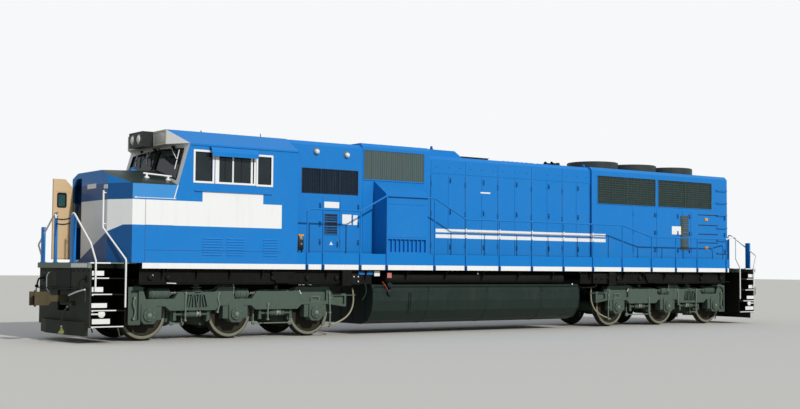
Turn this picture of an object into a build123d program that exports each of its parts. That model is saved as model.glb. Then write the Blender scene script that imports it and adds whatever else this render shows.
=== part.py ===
from build123d import *
from math import pi, radians, tan
import os

os.makedirs("parts", exist_ok=True)

# A six-axle wide-nose diesel-electric locomotive, in millimetres.
# X is forward, Y is to the driver's left, Z is up.
# The origin is on the floor under the middle of the coupled length.

# Running gear
flange_depth = 28.6
tread_radius = 533.4
flange_radius = tread_radius + flange_depth
rail = flange_depth
axle_height = rail + tread_radius
# The wheels carry the rest: heights of trucks, frame and body are above this level,
# which is the rail's top with wheels of this size.
wheel_top_above_level = 1095.4
level = axle_height + flange_radius - wheel_top_above_level
wheel_width = 140.0
wheel_inner_face = 676.5
axle_spacing = 2079.0
truck_centre = 7068.0
axle_radius = 105.0
journal_radius = 80.0
journal_end = 1085.0
bearing_gap = 0.05
pin_gap = 0.05
swivel_gap = 0.3

# Underframe
coupled_length = 22560.0
coupler_reach = 640.0
frame_half_length = coupled_length / 2 - coupler_reach
body_half_width = 1550.0
deck_top = level + 1637.0
deck_plate = 20.0
sill_height = 116.0
sill_half_width = body_half_width
platform_half_width = body_half_width - 70
sill_front = 9500.0
sill_rear = -9310.0
sill_plate = 20.0
girder_outer = body_half_width - 150
girder_plate = 24.0
girder_bottom = level + 1185.0
centre_sill_half_width = 450.0
centre_sill_bottom = level + 1290.0
walkway_top = level + 1900.0
walkway_plate = 8.0
coupler_height = rail + 876.0

# Body shell
wall = 40.0
cab_half_width = body_half_width
nose_half_width = body_half_width
nose_front = 10060.0
nose_front_half = body_half_width - 550
nose_corner = 9740.0
nose_rear = 9450.0
nose_edge_top = level + 3290.0
nose_ridge_front = level + 3600.0
nose_ridge_rear = level + 3680.0
nose_ridge_half_front = 770.0
nose_ridge_half_rear = 200.0
window_sill_front = 8800.0
window_sill_height = level + 3000.0
eave_front = 8450.0
eave_height = level + 4210.0
roof_half_width = 1000.0
roof_height = level + 4530.0
visor_front = 8770.0
board_depth = 14.0
board_inner = 400.0
board_outer = 960.0
lamp_front = 9020.0
lamp_box_half = 360.0
lamp_side = 165.0
lamp_radius = 125.0
cab_rear = 5750.0
hood_half_width = 1000.0
hood_bevel = 90.0
intake_front = 3620.0
intake_top = level + 4585.0
engine_hood_front = 1580.0
engine_step_front = 710.0
engine_step_rear = 460.0
engine_step_top = level + 4570.0
engine_hood_top = level + 4410.0
radiator_front = -4060.0
radiator_rear = -9850.0
radiator_half_width = 1060.0
radiator_top = level + 4425.0
recess_depth = 20.0
louvre_pitch = 58.0
louvre_depth = 16.0
door_proud = 8.0
door_seam = 14.0


def block(x0, x1, y0, y1, z0, z1):
    """A box between two corners."""
    size = Box(x1 - x0, y1 - y0, z1 - z0)
    return Pos((x0 + x1) / 2, (y0 + y1) / 2, (z0 + z1) / 2) * size


def prism_x(points, x0, x1):
    """A (Y, Z) outline drawn along X."""
    face = Plane.YZ.offset(x0) * Polygon(*points, align=None)
    return extrude(face, x1 - x0, dir=(1, 0, 0))


def prism_y(points, y0, y1):
    """An (X, Z) outline drawn along Y."""
    face = Plane.XZ.offset(-y1) * Polygon(*points, align=None)
    return extrude(face, y1 - y0, dir=(0, -1, 0))


def prism_z(points, z0, z1):
    """An (X, Y) outline drawn along Z."""
    face = Plane.XY.offset(z0) * Polygon(*points, align=None)
    return extrude(face, z1 - z0, dir=(0, 0, 1))


def round_x(x0, x1, y, z, radius):
    return Pos((x0 + x1) / 2, y, z) * Rot(0, 90, 0) * Cylinder(radius, x1 - x0)


def round_y(x, y0, y1, z, radius):
    return Pos(x, (y0 + y1) / 2, z) * Rot(90, 0, 0) * Cylinder(radius, y1 - y0)


def round_z(x, y, z0, z1, radius):
    return Pos(x, y, (z0 + z1) / 2) * Cylinder(radius, z1 - z0)


def left_and_right(shape):
    return shape + mirror(shape, about=Plane.XZ)


def turned_x(profile, y, z):
    """An (X, radius) outline, closed on the axis, turned about a line along X."""
    face = Plane.XZ * Polygon(*profile, align=None)
    return Pos(0, y, z) * revolve(face, Axis.X)


def cast_y(points, y0, y1, radius):
    """An (X, Z) outline drawn along Y, its corners rounded as in a casting."""
    outline = Plane.XZ.offset(-y1) * Polygon(*points, align=None)
    return extrude(fillet(outline.vertices(), radius), y1 - y0, dir=(0, -1, 0))


def cast_z(points, z0, z1, radius):
    """An (X, Y) outline drawn along Z, its corners rounded as in a casting."""
    outline = Plane.XY.offset(z0) * Polygon(*points, align=None)
    return extrude(fillet(outline.vertices(), radius), z1 - z0, dir=(0, 0, 1))


def louvres(x0, x1, z0, z1, side):
    """Pressed louvres, one above the other, on a left side."""
    blades = []
    z = z0
    while z + louvre_pitch <= z1:
        blades.append(prism_x([(side - 5, z), (side + louvre_depth, z + 4),
                               (side - 5, z + louvre_pitch - 12)], x0, x1))
        z += louvre_pitch
    return blades


def plates(doors, side):
    """Flat doors that stand proud of a left side."""
    return [block(x0, x1, side - 5, side + door_proud, z0, z1) for x0, x1, z0, z1 in doors]


def tube(points, radius, bend=80.0):
    """A round rail through points, bent to an arc at each corner."""
    corners = [Vector(*point) for point in points]
    kept = [corners[0]]
    for before, corner, after in zip(corners, corners[1:], corners[2:]):
        if (corner - before).get_angle(after - corner) > 0.5:
            kept.append(corner)
    kept.append(corners[-1])
    path = FilletPolyline(*kept, radius=bend) if len(kept) > 2 else Polyline(*kept)
    section = Plane(origin=path @ 0, z_dir=path % 0) * Circle(radius)
    return sweep(section, path=path)


def save(shape, name):
    solids = shape.solids()
    whole = solids[0] if len(solids) == 1 else Compound(children=list(solids))
    export_step(whole, f"parts/{name}.step")


# Underframe

jack_pads = [4380.0, -4380.0]
jack_pad_length = 260.0
jack_pad_inner = 1250.0
jack_pad_outer = sill_half_width - sill_plate
jack_pad_bottom = level + 1150.0
bolster_half = 320.0
centre_plate_radius = 260.0
centre_plate_bottom = level + 1200.0
centre_pin_radius = 110.0
centre_pin_bottom = level + 1060.0
draft_box_half = 290.0
draft_box_drop = 140.0
draft_pocket_half = 230.0
draft_gap = 8.0
draft_pin_radius = 40.0
draft_pivot = frame_half_length - 240
shank_half = 65.0
sill_brackets = [9000.0, 8200.0, 7400.0, 6600.0, 4900.0, 3800.0, 2600.0, 1400.0, 200.0, -1000.0,
                 -2200.0, -3600.0, -4900.0, -5700.0, -6600.0, -7400.0, -8200.0, -9000.0]
bracket_plate = 16.0
damper_bracket = [(5750.0, level + 1465), (6370.0, level + 1465), (6240.0, level + 1215),
                  (5880.0, level + 1215)]


def make_underframe():
    under_deck = deck_top - deck_plate
    frame = block(sill_rear, sill_front, -sill_half_width, sill_half_width, under_deck, deck_top)
    frame += block(-frame_half_length, frame_half_length,
                   -platform_half_width, platform_half_width, under_deck, deck_top)
    web = block(sill_rear, sill_front, sill_half_width - sill_plate, sill_half_width,
                deck_top - sill_height, under_deck)
    frame += left_and_right(web)
    for x0, x1 in ((tank_front + 40, sill_front), (sill_rear, tank_rear - 40)):
        girder = block(x0, x1, girder_outer - girder_plate, girder_outer,
                       girder_bottom, under_deck)
        frame += left_and_right(girder)
    for turn in (0, 180):
        frame += Rot(0, 0, turn) * make_draft_box()
    frame += block(-draft_pivot + 500, draft_pivot - 500, -centre_sill_half_width,
                   centre_sill_half_width, centre_sill_bottom, under_deck)
    for x in (-truck_centre, truck_centre):
        frame += block(x - bolster_half, x + bolster_half, -girder_outer + girder_plate,
                       girder_outer - girder_plate, centre_sill_bottom, under_deck)
        frame += round_z(x, 0, centre_plate_bottom, centre_sill_bottom, centre_plate_radius)
        frame += round_z(x, 0, centre_pin_bottom, centre_plate_bottom, centre_pin_radius)
    for x in jack_pads:
        pad = block(x - jack_pad_length / 2, x + jack_pad_length / 2, jack_pad_inner,
                    jack_pad_outer, jack_pad_bottom, under_deck)
        frame += left_and_right(pad)
    # Brackets carry the sill from the girders, and one a side takes each truck's damper.
    outrigger = [(girder_outer - 5, under_deck + 5), (sill_half_width - sill_plate, under_deck + 5),
                 (sill_half_width - sill_plate, deck_top - sill_height),
                 (girder_outer - 5, girder_bottom + 60)]
    brackets = [prism_x(outrigger, x - bracket_plate / 2, x + bracket_plate / 2)
                for x in sill_brackets]
    for sign in (1, -1):
        corners = [(sign * x, z) for x, z in damper_bracket]
        brackets.append(prism_y(corners, girder_outer - 5, girder_outer + 70))
    frame += [left_and_right(bracket) for bracket in brackets]
    # The raised walkways along the hoods stand on the deck.
    under_walkway = walkway_top - walkway_plate
    walkway = block(sill_rear, cab_rear, sill_half_width - sill_plate, sill_half_width,
                    deck_top, under_walkway)
    walkway += block(radiator_front, cab_rear, hood_half_width, sill_half_width,
                     under_walkway, walkway_top)
    walkway += block(sill_rear, radiator_front, radiator_half_width, sill_half_width,
                     under_walkway, walkway_top)
    walkway += block(sill_rear, sill_rear + sill_plate, radiator_half_width,
                     sill_half_width - sill_plate, deck_top, under_walkway)
    frame += left_and_right(walkway)
    return frame


def make_draft_box():
    """The pocket at the front end that holds the coupler's pivot pin."""
    under_deck = deck_top - deck_plate
    box = block(draft_pivot - 500, pilot_back, -draft_box_half, draft_box_half,
                coupler_height - draft_box_drop, under_deck)
    box -= block(draft_pivot - 130, pilot_back + 1, -draft_pocket_half, draft_pocket_half,
                 coupler_height - shank_half - draft_gap, coupler_height + shank_half + draft_gap)
    box += round_z(draft_pivot, 0, coupler_height - shank_half - draft_gap,
                   coupler_height + shank_half + draft_gap, draft_pin_radius)
    return box

# Ends with their steps

pilot_back = frame_half_length - 80
pilot_plate = 30.0
step_outer = body_half_width - 50
step_inner = 900.0
step_front = pilot_back - 60
step_rear = pilot_back - 710
step_plate = 20.0
tread_heights = [rail + 330.0, rail + 660.0, rail + 990.0, rail + 1320.0]
pilot_bottom = rail + 130.0
coupler_window_half = 330.0
coupler_window_low = coupler_height - 256
coupler_window_high = coupler_height + 274
end_plate_height = 116.0
plough_reach = 140.0
plough_half_front = 640.0
plough_half_rear = 1330.0
plough_top = rail + 420.0
lever_height = coupler_height + 215
lever_x = pilot_back + pilot_plate + 85
lever_radius = 13.0
hose_radius = 23.0
hose_route = [
    # The hanging brake hose, from its valve on the pilot to the coupling at its end
    (10697.0, 620.0, 767.8), (10763.9, 620.0, 707.6), (10823.8, 623.0, 615.3),
    (10857.8, 631.0, 510.7), (10865.5, 641.0, 401.0), (10859.2, 646.0, 311.2),
]
cock_reach = 55.0
cock_side = 620.0
cock_height = coupler_height - 90
mouth_ahead = 107.0
mouth_drop = 46.8
mouth_length = 60.0


def make_end():
    """The front end: end plate, pilot with coupler window, and a step well each side."""
    under_deck = deck_top - deck_plate
    low = tread_heights[0] - step_plate
    plate = block(pilot_back, pilot_back + pilot_plate, -step_outer + 40, step_outer - 40,
                  low, under_deck)
    plate -= block(pilot_back - 1, pilot_back + pilot_plate + 1, -coupler_window_half,
                   coupler_window_half, coupler_window_low, coupler_window_high)
    plate += block(pilot_back + pilot_plate, frame_half_length, -platform_half_width,
                   platform_half_width, deck_top - end_plate_height, under_deck)
    end = plate
    # The plough is a bent plate ahead of the pilot, closed on top.
    front = pilot_back + pilot_plate
    reach = front + plough_reach
    fore = [(pilot_back, -plough_half_rear), (front, -plough_half_rear),
            (reach, -plough_half_front), (reach, plough_half_front), (front, plough_half_rear),
            (pilot_back, plough_half_rear)]
    end += prism_z(fore, pilot_bottom, plough_top)
    aft = [(pilot_back - 1, -plough_half_rear + 60), (front, -plough_half_rear + 60),
           (reach - pilot_plate, -plough_half_front), (reach - pilot_plate, plough_half_front),
           (front, plough_half_rear - 60), (pilot_back - 1, plough_half_rear - 60)]
    end -= prism_z(aft, pilot_bottom - 1, plough_top - step_plate)
    end += block(pilot_back, front, -plough_half_rear + 40, plough_half_rear - 40,
                 pilot_bottom + 60, low + 20)
    # The cut lever crosses the pilot above the coupler, a handle at each end.
    lever = tube([(lever_x, -step_outer + 60, lever_height - 260),
                  (lever_x, -step_outer + 60, lever_height), (lever_x, step_outer - 60, lever_height),
                  (lever_x, step_outer - 60, lever_height - 260)], lever_radius, 60)
    lugs = [block(front - 5, lever_x, y - 8, y + 8, lever_height - 30, lever_height + 30)
            for y in (-1150, -480, 480, 1150)]
    end += [lever] + lugs
    well = block(step_rear - step_plate, step_rear, step_inner, step_outer, low, under_deck)
    well += block(step_rear - step_plate, pilot_back, step_inner - step_plate, step_inner,
                  low, under_deck)
    for height in tread_heights:
        well += block(step_rear, pilot_back, step_inner, step_outer, height - step_plate, height)
    end += left_and_right(well)
    return end + make_end_valve()


def make_end_valve():
    """The brake pipe's end valve, its mouth turned down to the slope of the hose."""
    x, y = pilot_back + pilot_plate, cock_side
    start = Vector(x + mouth_ahead, y, cock_height - mouth_drop)
    along = (Vector(*hose_route[1]) - Vector(*hose_route[0])).normalized()
    foot = (Align.CENTER, Align.CENTER, Align.MIN)
    pipe = round_x(x - 5, x + cock_reach, y, cock_height, 26)
    flange = round_x(x - 5, x + 14, y, cock_height, 48)
    body = Pos(x + cock_reach, y, cock_height) * Sphere(40)
    mouth = Plane(origin=start - along * mouth_length, z_dir=along) * Cylinder(27, mouth_length, align=foot)
    nut = Plane(origin=start - along * 24, z_dir=along) * Cylinder(34, 24, align=foot)
    handle = block(x + 20, x + 125, y - 8, y + 8, cock_height + 34, cock_height + 46)
    return pipe + [flange, body, mouth, nut, handle]


def make_hose():
    """The hanging hose: straight runs joined by the largest arcs that they allow."""
    corners = [Vector(*point) for point in hose_route]
    radii = []
    for before, corner, after in zip(corners, corners[1:], corners[2:]):
        turn = radians((corner - before).get_angle(after - corner))
        shorter = min((corner - before).length, (after - corner).length)
        radii.append(0.45 * shorter / tan(turn / 2))
    path = FilletPolyline(*corners, radius=radii)
    section = Plane(origin=path @ 0, z_dir=path % 0) * Circle(hose_radius)
    hose = sweep(section, path=path)
    share = hose.volume / (pi * hose_radius ** 2 * path.length)
    print("hose radii", [round(r) for r in radii], "length", round(path.length, 1))
    print("hose volume over section times length", round(share, 5))
    return hose


def make_coupling():
    """The coupling on the hose's end: a nipple, a flat casting and its round face."""
    before, end = (Vector(*point) for point in hose_route[-2:])
    foot = (Align.CENTER, Align.CENTER, Align.MIN)
    nipple = Plane(origin=end, z_dir=(end - before).normalized()) * Cylinder(27, 48, align=foot)
    x, y, z = end
    outline = [(x - 30, z - 34), (x + 28, z - 34), (x + 48, z - 76), (x + 30, z - 120),
               (x - 30, z - 120), (x - 52, z - 80)]
    body = cast_y(outline, y - 20, y + 20, 10)
    face = round_y(x - 2, y - 36, y + 20, z - 78, 36)
    hook = cast_y([(x + 20, z - 60), (x + 78, z - 84), (x + 70, z - 118), (x + 20, z - 100)],
                  y + 4, y + 22, 8)
    return nipple + [body, face, hook] - round_y(x - 2, y - 37, y - 26, z - 78, 22)


# Couplers

head_front = coupled_length / 2


def make_coupler():
    """A knuckle coupler: shank, head, guard arm and knuckle, pointing forward."""
    z0 = coupler_height - shank_half
    z1 = coupler_height + shank_half
    shank = block(draft_pivot, head_front - 330, -shank_half, shank_half, z0, z1)
    eye = round_z(draft_pivot, 0, z0, z1, shank_half + 30)
    head_points = [(head_front - 345, -105), (head_front - 345, 105), (head_front - 240, 150),
                   (head_front - 70, 195), (head_front, 165), (head_front - 95, 65),
                   (head_front - 165, -20), (head_front - 150, -185), (head_front - 265, -185)]
    head = cast_z(head_points, coupler_height - 140, coupler_height + 140, 16)
    knuckle_points = [(head_front - 170, -195), (head_front - 70, -195), (head_front, -135),
                      (head_front, -65), (head_front - 55, -45), (head_front - 90, -95),
                      (head_front - 170, -100)]
    knuckle = cast_z(knuckle_points, coupler_height - 145, coupler_height + 145, 14)
    pin = round_z(head_front - 130, -145, coupler_height - 175, coupler_height + 175, 24)
    collar = block(head_front - 370, head_front - 325, -100, 100, coupler_height - 110,
                   coupler_height + 110)
    coupler = shank + eye + [head, knuckle, pin, collar]
    coupler -= round_z(draft_pivot, 0, z0 - 1, z1 + 1, draft_pin_radius + pin_gap)
    return coupler


# Fuel tank, reservoirs

tank_front = 3560.0
tank_rear = -3240.0
tank_top = level + 1170.0
tank_bottom = level + 225.0
tank_half_top = 1330.0
tank_half_widest = 1400.0
tank_half_bottom = 900.0
tank_band = 6.0
tank_bands = [(tank_front - 24, tank_front), (1850.0, 1910.0), (-30.0, 30.0),
              (-1910.0, -1850.0), (tank_rear, tank_rear + 24)]
filler_x = 3080.0
reservoir_radius = 150.0
reservoir_gap = 12.0
reservoir_side = 1215.0


def make_fuel_tank():
    side = tank_half_widest
    left = [(tank_half_bottom, tank_bottom), (1180, tank_bottom + 90),
            (side - 50, tank_bottom + 320), (side, tank_bottom + 560),
            (side - 10, tank_top - 140), (tank_half_top, tank_top)]
    outline = [(-y, z) for y, z in left] + [(y, z) for y, z in reversed(left)]
    tank = prism_x(outline, tank_rear, tank_front)
    # Bands run round the tank, and an end plate stands out at each end.
    for x0, x1 in tank_bands:
        face = offset(Plane.YZ.offset(x0) * Polygon(*outline, align=None), tank_band)
        tank += extrude(face, x1 - x0, dir=(1, 0, 0))
    saddle = block(tank_rear + 300, tank_front - 300, -centre_sill_half_width,
                   centre_sill_half_width, tank_top, centre_sill_bottom)
    neck = Pos(filler_x, side - 60, tank_top - 90) * Rot(-50, 0, 0) * Cylinder(60, 230)
    cap = Pos(filler_x, side - 60, tank_top - 90) * Rot(-50, 0, 0) * Pos(0, 0, 120) * Cylinder(75, 30)
    return tank + saddle + left_and_right(neck + cap)


def make_reservoirs():
    z = tank_top + reservoir_radius + reservoir_gap
    left = round_x(tank_rear + 500, tank_front - 400, reservoir_side, z, reservoir_radius)
    left = fillet(left.edges().filter_by(GeomType.CIRCLE), 70)
    for x in (tank_rear + 1200, 0, tank_front - 1200):
        left += block(x - 30, x + 30, reservoir_side - 40, reservoir_side + 40, z,
                      deck_top - deck_plate)
    return left_and_right(left)


# Nose

def nose_outline(margin):
    """The nose and cab front in plan, drawn in by a wall's thickness."""
    front = nose_front - margin
    half = nose_half_width - margin
    front_half = nose_front_half - margin * 0.6
    corner = nose_corner - margin * 0.45
    return [(nose_rear, -half), (corner, -half), (front, -front_half), (front, front_half),
            (corner, half), (nose_rear, half)]


def under_roof_plane(points, depth, shape):
    """What is left of a shape below the plane through three points, lowered by a depth."""
    a, b, c = (Vector(*p) for p in points)
    normal = (b - a).cross(c - a).normalized()
    if normal.Z < 0:
        normal = normal * -1
    origin = a - normal * depth
    return split(shape, bisect_by=Plane(origin=origin, z_dir=normal), keep=Keep.BOTTOM)


def roofed_nose(shape, depth):
    """Cuts the nose to its ridge and its two bevels a side."""
    front_ridge = (nose_front, nose_ridge_half_front, nose_ridge_front - 30)
    rear_ridge = (window_top_x, nose_ridge_half_rear, nose_ridge_rear)
    front_edge = (nose_corner, nose_half_width, nose_edge_top)
    rear_edge = (window_sill_front, nose_half_width, nose_edge_top)
    top = [(nose_front, 0, nose_ridge_front), (nose_front, 100, nose_ridge_front),
           (window_top_x, 0, nose_ridge_rear)]
    shape = under_roof_plane(top, depth, shape)
    for corners in ([front_ridge, rear_ridge, rear_edge], [front_ridge, rear_edge, front_edge]):
        shape = under_roof_plane(corners, depth, shape)
        flipped = [(x, -y, z) for x, y, z in corners]
        shape = under_roof_plane(flipped, depth, shape)
    return shape


def front_plane_x(z):
    """Where the sloping cab front is at a height."""
    share = (z - window_sill_height) / (eave_height - window_sill_height)
    return window_sill_front + (eave_front - window_sill_front) * share


window_top_x = front_plane_x(nose_ridge_rear)
door_outer = -950.0
door_inner = -450.0
door_bottom = deck_top + 60.0
door_top = level + 3480.0
door_gap = 6.0
door_thickness = 40.0
door_chamfer = 200.0
door_open = 82.0
hinge_x = nose_front + 14.0
hinge_y = door_outer


def door_outline(gap):
    """The nose door's outline in Y and Z, its outer top corner cut off."""
    low = door_bottom + gap
    high = door_top - gap
    outer = door_outer + gap
    inner = door_inner - gap
    return [(outer, low), (inner, low), (inner, high), (outer + door_chamfer, high),
            (outer, high - door_chamfer)]


def make_nose():
    top = nose_ridge_rear + 100
    outer = prism_z(nose_outline(0), deck_top, top)
    inner = prism_z(nose_outline(wall), deck_top - 1, top)
    shell = roofed_nose(outer, 0) - roofed_nose(inner, wall)
    shell -= prism_x(door_outline(0), nose_front - 400, nose_front + 10)
    return shell


def make_nose_door():
    door = prism_x(door_outline(door_gap), nose_front - door_thickness, nose_front)
    window = block(nose_front - 60, nose_front + 10, -760, -560, door_top - 620, door_top - 320)
    window = fillet(window.edges().filter_by(Axis.X), 50)
    door -= window
    for z in (door_bottom + 250, door_bottom + 900, door_top - 420):
        leaf = block(nose_front, hinge_x, hinge_y, hinge_y + 70, z - 60, z + 60)
        door += leaf + round_z(hinge_x, hinge_y, z - 60, z + 60, 12)
    swing = Axis((hinge_x, hinge_y, 0), (0, 0, 1))
    return door.rotate(swing, -door_open)


# Cab

def cab_side_profile():
    """The cab side from the seam with the nose to its rear edge, in X and Z."""
    return [(cab_rear, deck_top), (nose_rear, deck_top), (nose_rear, nose_edge_top),
            (front_plane_x(nose_edge_top), nose_edge_top), (eave_front, eave_height),
            (cab_rear, eave_height)]


side_windows = [
    # X low, X high, Z low, Z high
    (7900.0, 8340.0, level + 3390.0, level + 4050.0),
    (6880.0, 7820.0, level + 3390.0, level + 4000.0),
    (6440.0, 6810.0, level + 3380.0, level + 4030.0),
]
window_corner = 60.0
awning_front = 7990.0
awning_rear = 6850.0
awning_sheet = 12.0
side_louvres = [
    # X low, X high
    (7650.0, 8120.0),
    (7110.0, 7540.0),
    (6280.0, 6640.0),
]


def window_plug(x0, x1, z0, z1, y0, y1):
    """A side window's opening, its corners rounded."""
    plug = block(x0, x1, y0, y1, z0, z1)
    return fillet(plug.edges().filter_by(Axis.Y), window_corner)


def make_cab_side():
    """The left cab wall: three windows, an awning, a ledge and the louvres below."""
    skin = cab_half_width
    side = prism_y(cab_side_profile(), skin - wall, skin)
    for x0, x1, z0, z1 in side_windows:
        side -= window_plug(x0, x1, z0, z1, skin - wall - 1, skin + 1)
    top = level + 4165
    curve = [(0, 0), (70, -20), (115, -65), (140, -125), (140, -215)]
    outside = [(skin - 5, top)] + [(skin + y, top + z) for y, z in curve]
    inside = [(skin + y - awning_sheet, top + z) for y, z in reversed(curve[1:])]
    awning = prism_x(outside + inside + [(skin - 5, top - awning_sheet)], awning_rear, awning_front)
    ledge = block(6430, 8330, skin - 5, skin + 30, level + 3180, level + 3215)
    drip = block(cab_rear, eave_front - 10, skin - 5, skin + 18, eave_height - 40, eave_height - 16)
    side += [awning, ledge, drip]
    for x0, x1 in side_louvres:
        side += louvres(x0, x1, level + 1810, level + 2270, skin)
    return side


def in_front_of_windshield(shape):
    """What is left of a shape ahead of the sloping cab front."""
    high = nose_ridge_rear + 200
    behind = [(cab_rear, nose_edge_top - 1), (front_plane_x(nose_edge_top - 1), nose_edge_top - 1),
              (front_plane_x(high), high), (cab_rear, high)]
    return shape - prism_y(behind, -cab_half_width - 1, cab_half_width + 1)


def make_cab_cowl():
    """The roof of the nose between its seam and the windshield."""
    high = nose_ridge_rear + 100
    shell = block(eave_front, nose_rear, -cab_half_width, cab_half_width, nose_edge_top, high)
    hollow = block(eave_front, nose_rear + 1, -cab_half_width, cab_half_width,
                   nose_edge_top - 1, high)
    return in_front_of_windshield(roofed_nose(shell, 0) - roofed_nose(hollow, wall))


def windshield_opening(side):
    """One windshield's outline, its lower edge along the slope of the nose."""
    points = [(side * 55, level + 3715), (side * 1365, level + 3425), (side * 1325, level + 4105),
              (side * 55, level + 4165)]
    face = Plane.YZ.offset(8000) * Polygon(*points, align=None)
    return extrude(fillet(face.vertices(), 50), 1300, dir=(1, 0, 0))


def make_cab_front():
    """The sloping panel round the windshields, on a bulkhead below them."""
    edge = front_plane_x(nose_edge_top)
    profile = [(edge, nose_edge_top), (eave_front, eave_height),
               (eave_front - wall, eave_height), (edge - wall, nose_edge_top)]
    half = cab_half_width - wall
    front = prism_y(profile, -half, half)
    front += block(edge - wall, edge, -half, half, deck_top, nose_edge_top)
    for side in (-1, 1):
        front -= windshield_opening(side)
    return front


def make_cab_roof():
    half = cab_half_width
    outer = prism_x([(-half, eave_height), (half, eave_height), (roof_half_width, roof_height),
                     (-roof_half_width, roof_height)], cab_rear, eave_front)
    inner = prism_x([(-half + 90, eave_height - 1), (half - 90, eave_height - 1),
                     (roof_half_width - 20, roof_height - wall),
                     (-roof_half_width + 20, roof_height - wall)],
                    cab_rear + wall, eave_front - wall)
    return outer - inner


def make_headlight_housing():
    """The visor over the windshields: two number boards and a box with two lamps."""
    half = cab_half_width
    section = prism_x([(-half, eave_height), (half, eave_height), (roof_half_width, roof_height),
                       (-roof_half_width, roof_height)], eave_front, visor_front)
    plan = [(eave_front, -half), (visor_front, -roof_half_width), (visor_front, roof_half_width),
            (eave_front, half)]
    visor = section & prism_z(plan, eave_height, roof_height)
    board = block(visor_front - board_depth, visor_front + 1, board_inner, board_outer,
                  level + 4250, level + 4490)
    visor -= left_and_right(board)
    lamps = block(visor_front - 5, lamp_front, -lamp_box_half, lamp_box_half, level + 4195,
                  roof_height)
    for y in (-lamp_side, lamp_side):
        lamps -= round_x(lamp_front - 60, lamp_front + 1, y, level + 4365, lamp_radius)
        lamps += round_x(lamp_front - 61, lamp_front - 20, y, level + 4365, lamp_radius - 35)
    return visor + lamps


rear_door_low = -1480.0
rear_door_high = -1080.0
rear_door_bottom = walkway_top + 30
rear_door_top = level + 3850.0
rear_hinge_x = cab_rear - 14.0
rear_hinge_y = rear_door_high


def make_cab_rear_wall():
    rear = block(cab_rear, cab_rear + wall, -cab_half_width + wall, cab_half_width - wall,
                 deck_top, eave_height)
    rear -= block(cab_rear - 1, cab_rear + wall + 1, rear_door_low, rear_door_high,
                  rear_door_bottom, rear_door_top)
    return rear


def make_rear_door():
    gap = door_gap
    door = block(cab_rear, cab_rear + door_thickness, rear_door_low + gap, rear_door_high - gap,
                 rear_door_bottom + gap, rear_door_top - gap)
    door -= block(cab_rear - 1, cab_rear + 60, -1400, -1160, level + 3150, level + 3650)
    for z in (rear_door_bottom + 250, rear_door_top - 250):
        leaf = block(rear_hinge_x, cab_rear, rear_hinge_y - 70, rear_hinge_y, z - 60, z + 60)
        door += leaf + round_z(rear_hinge_x, rear_hinge_y, z - 60, z + 60, 12)
    return door


pane = 12.0


def make_glass():
    middle = cab_half_width - wall / 2
    panes = []
    for x0, x1, z0, z1 in side_windows:
        sheet = window_plug(x0, x1, z0, z1, middle - pane / 2, middle + pane / 2)
        panes += [sheet, mirror(sheet, about=Plane.XZ)]
    profile = [(front_plane_x(level + 3000) - 26, level + 3000),
               (front_plane_x(level + 4300) - 26, level + 4300),
               (front_plane_x(level + 4300) - 14, level + 4300),
               (front_plane_x(level + 3000) - 14, level + 3000)]
    for side in (-1, 1):
        panes.append(prism_y(profile, -1400, 1400) & windshield_opening(side))
    return panes[0] + panes[1:]


cab_floor_top = level + 2350.0
floor_gap = 12.0
seat_places = [(7300.0, 950.0), (7300.0, -950.0)]


def make_seats():
    seats = []
    for x, y in seat_places:
        post = round_z(x, y, cab_floor_top, cab_floor_top + 350, 60)
        cushion = block(x - 240, x + 240, y - 240, y + 240, cab_floor_top + 350,
                        cab_floor_top + 470)
        back = block(x - 300, x - 200, y - 230, y + 230, cab_floor_top + 470,
                     cab_floor_top + 1130)
        seats.append(post + cushion + back)
    return seats[0] + seats[1:]


def make_cab_floor():
    """The floor, clear of the rear door, and the desk across the front."""
    half = cab_half_width - wall
    floor = block(cab_rear + wall + floor_gap, front_plane_x(nose_edge_top) - wall, -half, half,
                  cab_floor_top - 60, cab_floor_top)
    desk = prism_y([(8230, cab_floor_top), (8600, cab_floor_top), (8600, level + 3250),
                    (8120, level + 3110), (8100, level + 3060), (8230, level + 3020)], -1350, 1350)
    return floor + desk


# Hoods

def hood_outline(half, top, bevel, base):
    return [(-half, base), (half, base), (half, top - bevel), (half - bevel, top),
            (-half + bevel, top), (-half, top - bevel)]


def hood_shell(x0, x1, half, top):
    base = deck_top
    outer = prism_x(hood_outline(half, top, hood_bevel, base), x0, x1)
    inner = prism_x(hood_outline(half - wall, top - wall, hood_bevel, base - 1),
                    x0 + wall, x1 - wall)
    return outer - inner


cabinet_doors = [
    # X low, X high, Z low, Z high
    (4770.0, 5680.0, level + 1950.0, level + 3240.0),
    (4290.0, 4740.0, level + 1950.0, level + 2310.0),
    (4290.0, 4740.0, level + 2330.0, level + 2890.0),
    (4290.0, 4740.0, level + 2910.0, level + 3240.0),
    (3690.0, 4260.0, level + 1950.0, level + 3240.0),
]
cabinet_mesh = (3740.0, 5320.0, level + 3305.0, level + 3890.0)
intake_screen = (1760.0, 3580.0, level + 3695.0, level + 4354.0)
slat_pitch = 65.0
filter_rear = 2030.0
filter_front = 3280.0
rib_pitch = 125.0


def make_electrical_cabinet():
    """The high cabinet behind the cab, with a screened vent and five doors a side."""
    side = hood_half_width
    hood = hood_shell(intake_front, cab_rear, side, roof_height)
    x0, x1, z0, z1 = cabinet_mesh
    hood -= left_and_right(block(x0, x1, side - recess_depth, side + 1, z0, z1))
    third = (x1 - x0) / 3
    parts = [block(x - 18, x + 18, side - recess_depth - 5, side, z0 - 5, z1 + 5)
             for x in (x0 + third, x1 - third)]
    parts += plates(cabinet_doors, side)
    parts += louvres(4340, 4690, level + 2350, level + 2870, side + door_proud)
    return hood + [left_and_right(part) for part in parts]


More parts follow.
